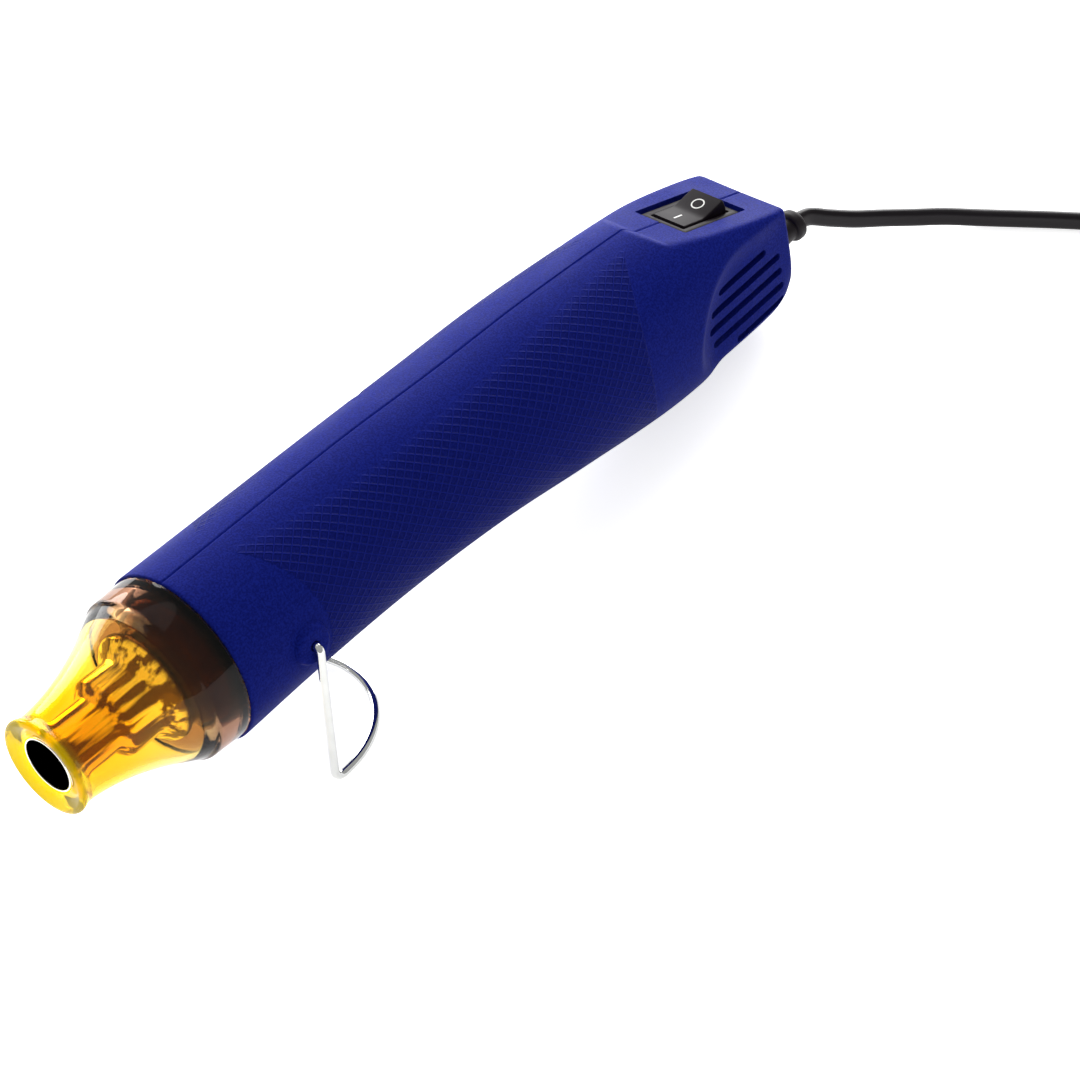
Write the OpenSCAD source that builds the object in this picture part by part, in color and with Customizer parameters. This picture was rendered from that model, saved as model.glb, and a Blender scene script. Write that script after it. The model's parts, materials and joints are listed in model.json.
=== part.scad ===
// Embossing heat tool: a pen-grip hot air blower on a folding wire bail.
// The tool's own axis runs rearward along x, with its nozzle towards -x.
// Everything but the bail, the lead and the plug is drawn along that axis and then tipped by
// rest_pitch, so that the tool stands on its unfolded bail and on the underside of its tail.

/* [Housing] */
// Radius of the round front end
front_r = 23; // [22:0.25:23.5]
// Distance from the front end to the rear face
housing_len = 201; // [200:0.5:203]
// Thickness of the moulded wall
wall = 2.2; // [2:0.1:2.5]
// Nose-up tilt of the tool as it rests, in degrees
rest_pitch = 2.6; // [2:0.1:3.2]

/* [Nozzle] */
// Distance that the shroud reaches in front of the housing
shroud_len = 43.9; // [42:0.1:46]
// Diameter of the hot air outlet
outlet_d = 14; // [12:0.5:14]
// Outer diameter of the steel air tube
tube_d = 15; // [15:0.1:15.4]

/* [Switch] */
// Length of the bezel
bezel_len = 21; // [20:0.5:21.5]
// Width of the bezel
bezel_w = 15; // [14:0.5:15.5]
// Angle between the rocker's two positions, in degrees
rocker_swing = 24; // [18:1:26]

/* [Bail] */
// Diameter of the wire
wire_d = 2.1; // [1.8:0.1:2.2]
// Distance between the centres of the two legs
bail_w = 50.6; // [50.4:0.2:53]
// Forward lean of the legs at rest, in degrees
bail_lean = 9.2; // [5:0.2:12]

/* [Vents] */
// Number of slots in each side
vent_count = 5; // [3:1:5]
// Width of a slot
vent_w = 2; // [1.6:0.1:2.4]
// Distance between the centres of two slots
vent_pitch = 4.45; // [4:0.05:4.6]

/* [Motor and fan] */
// Diameter of the motor can
motor_d = 27.7; // [24:0.1:28]
// Length of the motor can
motor_len = 38; // [30:1:38]
// Diameter of the fan
fan_d = 34.5; // [30:0.5:35]
// Number of blades
blade_count = 7; // [5:1:9]

/* [Lead] */
// Width of the flat lead
lead_w = 5; // [4.8:0.1:5.2]
// Thickness of the flat lead
lead_t = 2.9; // [2.6:0.1:3]
// Turns of the lead in its stored coil
coil_turns = 7.6; // [5.6:1:7.6]

/* [Hidden] */
$fn = 64;
cut = 0.5;
big = 120;

// Stations along the housing: position, half width, top and bottom edge
stations = [[0, front_r, front_r, -front_r], [30, 22, 23.4, -21.8], [60, 21.5, 23.6, -21.8],
    [90, 22.4, 22.6, -22.8], [120, 23, 22.3, -26.8], [150, 22.4, 20.8, -31],
    [172, 21, 19, -31.6], [190, 18.8, 16.5, -31], [197, 17.4, 15.2, -28.8],
    [housing_len, 16, 13.8, -25]];
outer_stops = [0, 8, 16, 24, 32, 40, 48, 56, 64, 72, 80, 88, 96, 104, 112, 120, 128, 136, 144,
    152, 160, 168, 176, 184, 190, 194, 197, 199.5, housing_len];
inner_stops = [-cut, 16, 32, 48, 64, 80, 92, 104, 116, 128, 140, 152, 164, 176, 188, 195,
    housing_len - wall];
outer_sides = 20;
inner_sides = 12;

// Cubic curve through the stations, with the slope at each one taken from its neighbours
last_station = len(stations) - 1;
function slope(i, k) =
    let (a = stations[max(i - 1, 0)], b = stations[min(i + 1, last_station)])
    (b[k] - a[k]) / (b[0] - a[0]);
function span(x, i = 0) = i >= last_station - 1 || x < stations[i + 1][0] ? i : span(x, i + 1);
function edge(x, k) =
    let (i = span(x), a = stations[i], b = stations[i + 1], w = b[0] - a[0], t = (x - a[0]) / w)
    a[k] * (2 * t * t * t - 3 * t * t + 1) + b[k] * (3 * t * t - 2 * t * t * t)
    + w * slope(i, k) * (t * t * t - 2 * t * t + t) + w * slope(i + 1, k) * (t * t * t - t * t);
function half_width(x) = edge(max(x, 0), 1);
function top_edge(x) = edge(max(x, 0), 2);
function bottom_edge(x) = edge(max(x, 0), 3);

// Resting height of the tool's axis, from the lowest point of the underside
rest_height = max([for (x = outer_stops)
    sin(rest_pitch) * x - cos(rest_pitch) * bottom_edge(x)]);
frame_x = -86.6;
module in_tool_pose() {
    translate([frame_x, 0, rest_height]) rotate([0, rest_pitch, 0]) children();
}
module along_axis(x) {
    translate([x, 0, 0]) rotate([0, 90, 0]) children();
}

// Half of a closed loft with elliptical sections, on the +y side of the parting plane
module half_loft(stops, inset, sides) {
    n = sides + 1;
    rings = [for (x = stops) for (i = [0 : sides])
        let (t = 180 * i / sides, half = (top_edge(x) - bottom_edge(x)) / 2 - inset,
            middle = (top_edge(x) + bottom_edge(x)) / 2)
        [x, (half_width(x) - inset) * (i == sides ? 0 : sin(t)), middle + half * cos(t)]];
    skin = [for (s = [0 : len(stops) - 2]) for (i = [0 : sides - 1])
        for (f = [[s * n + i, s * n + i + 1, (s + 1) * n + i],
            [s * n + i + 1, (s + 1) * n + i + 1, (s + 1) * n + i]]) f];
    flat = [for (s = [0 : len(stops) - 2])
        for (f = [[s * n, (s + 1) * n, s * n + sides],
            [(s + 1) * n, (s + 1) * n + sides, s * n + sides]]) f];
    front = [[for (i = [sides : -1 : 0]) i]];
    rear = [[for (i = [0 : sides]) (len(stops) - 1) * n + i]];
    polyhedron(rings, concat(skin, flat, front, rear), convexity = 6);
}

// Sloping seat of the switch, with a short bevel in front of it
seat_x = 162.4;
seat_z = 16.8;
seat_slope = 17.6;
bevel_run = 7.4;
bevel_rise = 6.5;
module seat_cutter(depth) {
    translate([0, big / 2, -depth]) rotate([90, 0, 0])
        linear_extrude(big)
            polygon([[seat_x - bevel_run, seat_z + bevel_rise], [seat_x, seat_z],
                [seat_x + 50, seat_z - 50 * tan(seat_slope)], [seat_x + 50, seat_z + 40],
                [seat_x - bevel_run, seat_z + 40]]);
}
function seat_height(x) = seat_z - (x - seat_x) * tan(seat_slope);

// Dished hollow in the side of the tail, open to the rear, that the vents sit in
dish_x = 183;
dish_z = -14.5;
dish_floor = 14.4;
dish_flat_r = 14;
dish_round_r = 15;
dish_toe = 3;
module dish_profile() {
    difference() {
        square([dish_flat_r + dish_round_r, dish_round_r]);
        translate([dish_flat_r, dish_round_r]) mirror([0, 1]) difference() {
            square([dish_round_r + cut, dish_round_r + cut]);
            circle(dish_round_r);
        }
    }
}
module dish(depth) {
    translate([housing_len, dish_floor - depth, dish_z]) rotate([0, 0, -dish_toe])
        translate([dish_x - housing_len - depth, 0, 0]) rotate([-90, 0, 0]) {
            rotate_extrude() dish_profile();
            rotate([0, 90, 0]) linear_extrude(60) {
                rotate(90) dish_profile();
                mirror([0, 1]) rotate(90) dish_profile();
            }
        }
}

// Flank that runs from the dish down to the keel of the tail, with a round start
keel_angle = 56;
keel_reach = 26.45;
keel_x = 172;
keel_round_r = 15;
module keel_flank(depth) {
    rotate([-keel_angle, 0, 0]) translate([keel_x, keel_reach - depth, -big / 2])
        linear_extrude(big) {
            translate([0, keel_round_r]) circle(keel_round_r);
            square([big, 2 * keel_round_r]);
        }
}

// Pillars that the screws pull together: position along the axis and height
screw_points = [[78, 16], [78, -15.6], [149, 13.4], [152, -23.6], [196, -0.4]];
post_r = 3.2;
seat_post_r = 4.1;
post_skin = 0.4;
screw_hole_r = 1.6;
pilot_r = 1.2;
head_r = 2.8;
head_seat_y = 8;
pilot_depth = 9;

// The bail's pivot, on a boss on each side
pivot_x = 20.4;
boss_r = 4.7;
boss_foot_r = 5.6;
boss_face = 23.9;
wire_r = wire_d / 2;
bail_hole_r = wire_r + 0.075;

switch_x = 181.8;
switch_seat = 2.65;
bezel_t = 2;
recess_gap = 0.9;
body_len = 18.6;
body_w = 12.6;
body_depth = 11;
module on_seat(x) {
    translate([x, 0, seat_height(x)]) rotate([0, seat_slope, 0]) children();
}

// Grommet of the lead, in the rear face
relief_z = -16.5;
relief_neck_r = 3.3;

// Spigot of the shroud, held by a bead in a groove
spigot_r = 20.4;
spigot_len = 7;
bead_r = 21.4;
bead_x = 4.2;
bead_w = 1.8;
fit_gap = 0.3;

sleeve_r = 16.5;
sleeve_rear = 74;
motor_x = 104;
fan_x = 88;
fan_len = 9;

module slot(x0, x1, z) {
    translate([x0, 0, z - vent_w / 2]) cube([x1 - x0, 30, vent_w]);
    for (x = [x0, x1]) translate([x, 0, z]) rotate([-90, 0, 0]) cylinder(r = vent_w / 2, h = 30);
}
module vents() {
    vent_top = -2.2;
    vent_front = [172.5, 168.5, 167, 168, 177];
    vent_rear = [190, 195, 195, 195, 195];
    for (i = [0 : vent_count - 1]) slot(vent_front[i], vent_rear[i], vent_top - i * vent_pitch);
}

// Arms that hold the motor, from the can out to the wall
module motor_arms(x) {
    arm_t = 2;
    arm_w = 4;
    intersection() {
        half_loft(outer_stops, wall / 2, inner_sides);
        difference() {
            for (a = [-50, 50]) translate([x, 0, 0]) rotate([a, 0, 0])
                translate([0, motor_d / 2 - 1, -arm_w / 2]) cube([arm_t, 20, arm_w]);
            along_axis(x - 1) cylinder(r = motor_d / 2 + 0.1, h = arm_t + 2);
        }
    }
}

// Collar inside the front end that centres the heater
module heater_collar() {
    collar_x = 8;
    collar_t = 2;
    intersection() {
        half_loft([0, 8, 16, 24], wall / 2, outer_sides);
        difference() {
            along_axis(collar_x) cylinder(r = front_r, h = collar_t);
            along_axis(collar_x - 1) cylinder(r = sleeve_r + 0.15, h = collar_t + 2);
        }
    }
}

module post(p, y0) {
    translate([p[0], y0, p[1]]) rotate([-90, 0, 0]) children();
}

// Shell on the +y side, with either the screws' seats or their pilot holes
module shell(seats) {
    difference() {
        union() {
            difference() {
                half_loft(outer_stops, 0, outer_sides);
                difference() {
                    half_loft(inner_stops, wall, inner_sides);
                    seat_cutter(wall);
                    dish(wall);
                    keel_flank(wall);
                }
                seat_cutter(0);
                dish(0);
                keel_flank(0);
            }
            intersection() {
                difference() {
                    half_loft(outer_stops, post_skin, inner_sides);
                    seat_cutter(post_skin);
                    dish(post_skin);
                    keel_flank(post_skin);
                }
                for (p = screw_points) post(p, 0)
                    cylinder(r = seats ? seat_post_r : post_r, h = 25);
            }
            for (x = [112, 132]) motor_arms(x);
            heater_collar();
            translate([pivot_x, boss_face, 0]) rotate([90, 0, 0])
                cylinder(r1 = boss_r, r2 = boss_foot_r, h = boss_face - front_r + 1.6);
        }
        for (p = screw_points) {
            if (seats) {
                post(p, -1) cylinder(r = screw_hole_r, h = 30);
                post(p, head_seat_y) cylinder(r = head_r, h = 30);
            } else {
                post(p, -1) cylinder(r = pilot_r, h = pilot_depth + 1);
            }
        }
        vents();
        translate([pivot_x, 10, 0]) rotate([-90, 0, 0]) cylinder(r = bail_hole_r, h = 20);
        on_seat(switch_x) {
            translate([-bezel_len / 2 - recess_gap, -1, -switch_seat])
                cube([bezel_len + 2 * recess_gap, bezel_w / 2 + recess_gap + 1, 10]);
            translate([-body_len / 2 - 0.2, -1, -10]) cube([body_len + 0.4, body_w / 2 + 1.2, 20]);
        }
        along_axis(bead_x - bead_w / 2 - 0.2) cylinder(r = bead_r + fit_gap, h = bead_w + 0.4);
        translate([housing_len - 6, 0, relief_z]) rotate([0, 90, 0])
            cylinder(r = relief_neck_r, h = 12);
    }
}
module housing_near() {
    color("#1b2f9e") in_tool_pose() mirror([0, 1, 0]) shell(false);
}
module housing_far() {
    color("#1b2f9e") in_tool_pose() shell(true);
}

// Self-tapping screws, driven from the far side
module housing_screws() {
    shank_r = 1.15;
    shank_len = 15;
    screw_head_r = 2.6;
    head_t = 1.8;
    color("#8f9296") in_tool_pose() for (p = screw_points) {
        post(p, head_seat_y - shank_len) cylinder(r = shank_r, h = shank_len);
        post(p, head_seat_y) difference() {
            cylinder(r = screw_head_r, h = head_t);
            translate([0, 0, head_t - 0.8]) {
                translate([-1.5, -0.3, 0]) cube([3, 0.6, 2]);
                translate([-0.3, -1.5, 0]) cube([0.6, 3, 2]);
            }
        }
    }
}

// Shroud: outer radius at each distance in front of the housing
shroud_outer = [[0, 22.5], [9.3, 22.1], [9.9, 21.4], [12, 20.5], [14.4, 19.3], [17, 18],
    [20, 16.6], [23, 15.3], [26, 14.1], [29, 13.1], [32, 12.3], [35, 11.7], [37.5, 11.5],
    [39.5, 11.7], [41.2, 12.3], [42.2, 12.9], [43, 13.05], [43.6, 12.7]];
shroud_wall = 1.7;
module nozzle_shroud() {
    rim_r = 11.6;
    face_back = shroud_len - 2;
    scale_x = (shroud_len - 0.2) / 43.7;
    outer = [for (p = shroud_outer) [p[1], -p[0] * scale_x]];
    inner = [for (i = [14 : -1 : 3]) let (p = shroud_outer[i])
        [p[1] - shroud_wall, -min(p[0] * scale_x, face_back)]];
    color("#e0a100") in_tool_pose() rotate([0, 90, 0]) rotate([0, 0, 180]) rotate_extrude($fn = 96)
        polygon(concat([[spigot_r - shroud_wall, spigot_len], [spigot_r, spigot_len],
            [spigot_r, bead_x + bead_w / 2], [bead_r, bead_x + bead_w / 4],
            [bead_r, bead_x - bead_w / 4], [spigot_r, bead_x - bead_w / 2], [spigot_r, 0]],
            outer, [[rim_r, -shroud_len], [tube_d / 2 + 0.1, -shroud_len],
            [tube_d / 2 + 0.1, -face_back]], inner, [[spigot_r - shroud_wall, -10.5]]));
}

// Pressed steel air tube: stepped behind the outlet, with a rolled flange
module steel_nozzle() {
    sheet = 0.5;
    lip = shroud_len + 0.3;
    bore = outlet_d / 2;
    color("#c9c2ad") in_tool_pose() rotate([0, 90, 0]) rotate_extrude()
        polygon([[bore, -lip], [tube_d / 2, -lip], [tube_d / 2, -27], [10.4, -24.5],
            [10.4, -16.5], [14.2, -13], [14.6, -11.6], [14.2, -10.4], [13.2, -10.2],
            [13.6, -6], [sleeve_r + sheet, -2.5], [sleeve_r + sheet, 6],
            [sleeve_r + 0.05, 6], [sleeve_r + 0.05, -2.2], [13, -5.6], [12.6, -10.6],
            [13.6, -11.6], [9.8, -16.2], [9.8, -24], [bore, -26.4]]);
}
module heater_sleeve() {
    sleeve_t = 0.6;
    color("#b9a98a") in_tool_pose() along_axis(0) difference() {
        cylinder(r = sleeve_r, h = sleeve_rear);
        translate([0, 0, -1]) cylinder(r = sleeve_r - sleeve_t, h = sleeve_rear + 2);
    }
}

// Two mica plates, each slotted for half its length so that they cross
mica_half = 12.4;
mica_t = 0.8;
mica_x0 = 4;
mica_x1 = 72;
mica_gap = 0.05;
module mica_plate_upright() {
    color("#cbb58a") in_tool_pose() difference() {
        translate([mica_x0, -mica_t / 2, -mica_half])
            cube([mica_x1 - mica_x0, mica_t, 2 * mica_half]);
        translate([(mica_x0 + mica_x1) / 2, -1, -mica_t / 2 - mica_gap])
            cube([40, 2, mica_t + 2 * mica_gap]);
    }
}
module mica_plate_level() {
    color("#cbb58a") in_tool_pose() difference() {
        translate([mica_x0, -mica_half, -mica_t / 2])
            cube([mica_x1 - mica_x0, 2 * mica_half, mica_t]);
        translate([mica_x0 - 1, -mica_t / 2 - mica_gap, -1])
            cube([(mica_x1 - mica_x0) / 2 + 1, mica_t + 2 * mica_gap, 2]);
    }
}

// Tube swept along a route: profile points lie across it, w upright and t level
function unit(v) = v / norm(v);
function route_dir(p, i) = unit(p[min(i + 1, len(p) - 1)] - p[max(i - 1, 0)]);
function oval(w, t, sides) = [for (k = [0 : sides - 1])
    let (a = 360 * (k + 0.5) / sides) [t / 2 * cos(a) / cos(180 / sides),
        w / 2 * sin(a) / cos(180 / sides)]];
module tube_along(p, profile, lean_to = []) {
    n = len(profile);
    rings = [for (i = [0 : len(p) - 1])
        let (d = route_dir(p, i), level = abs(d[2]) > 0.9 ? [0, 1, 0] : [0, 0, 1],
            s = unit(cross(d, len(lean_to) > 0 ? lean_to[i] : level)), u = cross(s, d))
        for (k = [0 : n - 1]) p[i] + profile[k][0] * s + profile[k][1] * u];
    skin = [for (i = [0 : len(p) - 2]) for (k = [0 : n - 1]) let (j = (k + 1) % n)
        for (f = [[i * n + k, (i + 1) * n + k, i * n + j],
            [(i + 1) * n + k, (i + 1) * n + j, i * n + j]]) f];
    start = [[for (k = [0 : n - 1]) k]];
    end = [[for (k = [n - 1 : -1 : 0]) (len(p) - 1) * n + k]];
    polyhedron(rings, concat(skin, start, end), convexity = 8);
}

// Resistance wire, wound round the four edges of the mica cross
module heating_coil() {
    wind_r = 13.8;
    wind_turns = 9;
    wind_x = 10;
    wind_pitch = 6.4;
    strand_d = 1.5;
    route = [for (i = [0 : 4 * wind_turns])
        [wind_x + wind_pitch * i / 4, wind_r * cos(90 * i), wind_r * sin(90 * i)]];
    color("#6f6a63") in_tool_pose() tube_along(route, oval(strand_d, strand_d, 6));
}
module thermal_fuse() {
    color("#d8d3c6") in_tool_pose() translate([52, 4.2, 4.2]) rotate([0, 90, 0]) {
        cylinder(r = 1.8, h = 10);
        translate([0, 0, -4]) cylinder(r = 0.4, h = 18);
    }
}
module heater_disc() {
    disc_t = 1.2;
    color("#cbb58a") in_tool_pose() along_axis(mica_x1) difference() {
        cylinder(r = sleeve_r - 0.7, h = disc_t);
        for (a = [45 : 90 : 315]) rotate(a) translate([8.5, 0, -1]) cylinder(r = 4.6, h = disc_t + 2);
    }
}

// Axial fan on the motor's shaft
module fan() {
    hub_r = 6;
    blade_t = 1.2;
    blade_angle = 42;
    shaft_r = 1;
    color("#e9e6dc") in_tool_pose() along_axis(fan_x) difference() {
        union() {
            cylinder(r = hub_r, h = fan_len);
            intersection() {
                cylinder(r = fan_d / 2, h = fan_len);
                for (i = [0 : blade_count - 1]) rotate(360 * i / blade_count)
                    translate([hub_r - 1.5, 0, fan_len / 2]) rotate([blade_angle, 0, 0])
                        translate([0, -6.5, -blade_t / 2]) cube([20, 13, blade_t]);
            }
        }
        translate([0, 0, -1]) cylinder(r = shaft_r, h = fan_len + 2);
    }
}
module motor_shaft() {
    color("#b8bbc0") in_tool_pose() along_axis(fan_x - 1) cylinder(r = 1, h = motor_len + 20);
}
module motor_can() {
    color("#9da1a6") in_tool_pose() along_axis(motor_x) difference() {
        union() {
            cylinder(r = motor_d / 2, h = motor_len);
            translate([0, 0, -2]) cylinder(r = 5, h = 3);
        }
        translate([0, 0, -3]) cylinder(r = 1.05, h = motor_len + 4);
    }
}
module motor_end_cap() {
    cap_t = 3;
    color("#2b2d31") in_tool_pose() along_axis(motor_x + motor_len) difference() {
        union() {
            cylinder(r = motor_d / 2 - 1, h = cap_t);
            cylinder(r = 4.5, h = cap_t + 2);
        }
        translate([0, 0, -1]) cylinder(r = 1.05, h = cap_t + 4);
    }
}

// Where the heater's wires pass the fan and the motor
wire_y = 18.45;
wire_z = 3;

// Plate in front of the motor, with windows for the air and notches for the wires
module motor_bracket() {
    plate_t = 2;
    plate_r = 19.6;
    color("#24272c") in_tool_pose() along_axis(motor_x - plate_t) difference() {
        cylinder(r = plate_r, h = plate_t);
        translate([0, 0, -1]) cylinder(r = 5.1, h = plate_t + 2);
        for (i = [0 : 5]) rotate(60 * i) translate([12.4, 0, -1]) cylinder(r = 4.9, h = plate_t + 2);
        for (side = [-1, 1]) translate([-wire_z, side * (wire_y + 0.5), -1])
            cylinder(r = 1.9, h = plate_t + 2);
    }
}
board_x = 149;
board_t = 1.6;
module rectifier_board() {
    color("#6d7f3a") in_tool_pose() translate([board_x, -11, -8.5]) cube([board_t, 22, 15]);
}
module rectifier_diodes() {
    diode_r = 1.4;
    color("#17181a") in_tool_pose() for (y = [-7.5, -2.5, 2.5, 7.5])
        translate([board_x + board_t + diode_r, y, -2.6]) cylinder(r = diode_r, h = 5.2);
}

// Wires inside the housing, along routes clear of the fan and the motor
wire_insulation_d = 1.2;
module heater_wires() {
    route = [[148.2, 9.5, 3], [145.5, 16.5, 3], [140, wire_y, wire_z], [100, wire_y, wire_z],
        [84, wire_y, wire_z], [78, 16.8, 3], [75.4, 13, 3.4], [74.6, 10.5, 3.4]];
    color("#c8342b") in_tool_pose() for (side = [1, -1])
        tube_along([for (p = route) [p[0], side * p[1], p[2]]],
            oval(wire_insulation_d, wire_insulation_d, 6));
}
module switch_wires() {
    route_a = [[196.2, 1, -16.5], [192, 2, -15], [187, 3, -11], [185.6, 3, -7.5]];
    route_b = [[178, -3, -5.4], [176, -4, -8], [168, -5, -8], [158, -5, -4], [154, -5, 4],
        [151.4, -5, 5]];
    color("#2c5fb8") in_tool_pose() {
        tube_along(route_a, oval(wire_insulation_d, wire_insulation_d, 6));
        tube_along(route_b, oval(wire_insulation_d, wire_insulation_d, 6));
    }
}

// Rocker switch: bezel and body, two tabs, and the rocker on its pivot
rocker_r = 8.3;
rocker_w = 10.2;
pivot_drop = 2;
bezel_top = bezel_t - switch_seat;
module switch_body() {
    color("#3a3434") in_tool_pose() on_seat(switch_x) difference() {
        union() {
            translate([-bezel_len / 2, -bezel_w / 2, -switch_seat]) cube([bezel_len, bezel_w, bezel_t]);
            translate([-body_len / 2, -body_w / 2, -switch_seat - body_depth])
                cube([body_len, body_w, body_depth + 0.1]);
        }
        translate([0, rocker_w / 2 + fit_gap, bezel_top - pivot_drop]) rotate([90, 0, 0])
            intersection() {
                cylinder(r = rocker_r + fit_gap, h = rocker_w + 2 * fit_gap);
                translate([-15, -6, 0]) cube([30, 30, 30]);
            }
        translate([0, 7, bezel_top - pivot_drop]) rotate([90, 0, 0]) cylinder(r = 1.05, h = 14);
    }
}
module switch_terminals() {
    color("#c8b46a") in_tool_pose() on_seat(switch_x) for (x = [-4, 5])
        translate([x, -2.4, -switch_seat - body_depth - 6]) cube([0.8, 4.8, 6]);
}
module switch_rocker() {
    tip = rocker_r * 1.4;
    crown = 2.4;
    color("#101012") in_tool_pose() on_seat(switch_x)
        translate([0, 0, bezel_top - pivot_drop]) rotate([0, -rocker_swing / 2, 0])
            rotate([90, 0, 0]) {
                translate([0, 0, -rocker_w / 2]) linear_extrude(rocker_w) intersection() {
                    circle(rocker_r, $fn = 96);
                    polygon([[0, crown], [tip, crown + tip * tan(rocker_swing / 2)],
                        [tip, -4], [-tip, -4], [-tip, crown + tip * tan(rocker_swing / 2)]]);
                }
                translate([0, 0, -rocker_w / 2 - 0.9]) cylinder(r = 0.98, h = rocker_w + 1.8);
            }
}

// Bail: two legs leaning forward from the pivots, and a foot that lies flat on the table
pivot = [frame_x + cos(rest_pitch) * pivot_x, rest_height - sin(rest_pitch) * pivot_x];
leg_len = (pivot[1] - wire_r) / cos(bail_lean);
foot = [pivot[0] - leg_len * sin(bail_lean), wire_r];
leg_y = bail_w / 2;
pin_end = 19.7;
top_bend = 1.3;
toe_bend = 2.4;
toe_turn = 90 + bail_lean;
toe_run = toe_bend * tan(toe_turn / 2);
arc_start = 3.6;
bend_steps = 8;
arc_steps = 32;
wire_sides = 12;

// Point of a leg, given across and down from the pivot
function leg_point(y, drop) =
    [pivot[0] - drop * sin(bail_lean), y, pivot[1] - drop * cos(bail_lean)];
function half_bail(side) = concat(
    [leg_point(side * pin_end, 0)],
    [for (i = [0 : bend_steps]) let (a = 90 * i / bend_steps)
        leg_point(side * (leg_y - top_bend * (1 - sin(a))), top_bend * (1 - cos(a)))],
    [for (i = [0 : bend_steps]) let (a = 270 - toe_turn * (1 - i / bend_steps))
        [foot[0] + toe_run + toe_bend * cos(a), side * leg_y,
            wire_r + toe_bend * (1 + sin(a))]]);
function half_normals() =
    let (up_leg = [cos(bail_lean), 0, -sin(bail_lean)])
    concat([for (i = [0 : bend_steps + 1]) up_leg],
        [for (i = [0 : bend_steps]) let (a = 270 - toe_turn * (1 - i / bend_steps))
            [-cos(a), 0, -sin(a)]]);
function flipped(list) = [for (i = [len(list) - 1 : -1 : 0]) list[i]];
module bail() {
    arc = [for (i = [0 : arc_steps]) let (a = 90 - 180 * i / arc_steps)
        [foot[0] + arc_start + leg_y * cos(a), leg_y * sin(a), wire_r]];
    normals = concat(half_normals(), [for (p = arc) [0, 0, 1]], flipped(half_normals()));
    color("#d4d6d8")
        tube_along(concat(half_bail(1), arc, flipped(half_bail(-1))),
            oval(wire_d, wire_d, wire_sides), normals);
}

// Rubber grommet round the lead
relief_len = 17.5;
module strain_relief() {
    flange_r = 5.4;
    sleeve_front_r = 3.9;
    sleeve_end_r = 3.1;
    collar_r = 4.15;
    collar_w = 3.4;
    color("#26241f") in_tool_pose() translate([housing_len, 0, relief_z]) rotate([0, 90, 0])
        rotate_extrude()
            polygon([[0, -wall - 2.2], [relief_neck_r + 1, -wall - 2.2], [flange_r, -wall - 1.4],
                [flange_r, -wall - 0.1], [relief_neck_r - 0.05, -wall - 0.1],
                [relief_neck_r - 0.05, 0.1], [sleeve_front_r + 0.6, 0.1],
                [sleeve_front_r + 0.6, 1.4], [sleeve_front_r, 2],
                [sleeve_end_r, relief_len - collar_w], [collar_r - 0.5, relief_len - collar_w],
                [collar_r, relief_len - collar_w + 0.6], [collar_r, relief_len - 0.8],
                [collar_r - 0.8, relief_len], [0, relief_len]]);
}

// Route of the lead: out of the grommet, down to the table and away to the coil
exit_x = frame_x + cos(rest_pitch) * (housing_len + relief_len) + sin(rest_pitch) * relief_z;
exit_z = rest_height - sin(rest_pitch) * (housing_len + relief_len) + cos(rest_pitch) * relief_z;
lead_route = [[exit_x, 0, exit_z], [136, 0, 12.7], [140, -2.5, 11], [145, -6, 8.4],
    [150.5, -10.8, 6], [156, -16.5, 4.2], [161, -23.5, 3.1], [165.6, -31.5, 2.6],
    [170, -40, 2.5], [174, -48, 2.5], [178, -56.5, 2.5], [182.5, -66.5, 2.6],
    [187, -77, 2.9], [193, -87, 3.1], [196, -91, 3.1]];
coil_centre = [224, -70];
coil_out_r = 35;
coil_entry = 216.87;
turn_gap = 0.7;
coil_z = 3.1;
coil_rings = 24;
layer = lead_w + turn_gap;
turn_step = lead_t + turn_gap;
climb_dip = 1.6;

// The coil spirals in on the lower layer, climbs, and spirals out again on the upper one
half_turns = coil_turns / 2;
function climb(n) = let (t = min(max((n - half_turns + 0.25) / 0.5, 0), 1))
    coil_z + layer * (3 * t * t - 2 * t * t * t);
function dip(n) = let (t = min(abs(n - half_turns) / 0.5, 1)) climb_dip * pow(1 - t * t, 2);
function coil_point(n) =
    let (r = coil_out_r - turn_step * min(n, coil_turns - n) - dip(n), a = coil_entry + 360 * n)
    [coil_centre[0] + r * cos(a), coil_centre[1] + r * sin(a), climb(n)];
coil_steps = round(coil_turns * coil_rings);
coil_route = [for (i = [0 : coil_steps]) coil_point(coil_turns * i / coil_steps)];
function flat_gap(a, b) = norm([a[0] - b[0], a[1] - b[1]]) - lead_t;
function upright_gap(a, b) = abs(a[2] - b[2]) - lead_w;
echo(coil_gap_between_turns = min([for (i = [0 : coil_steps])
    for (j = [i + coil_rings / 2 : 1 : min(coil_steps, i + 2.5 * coil_rings)])
        max(flat_gap(coil_route[i], coil_route[j]), upright_gap(coil_route[i], coil_route[j]))]));

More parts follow.
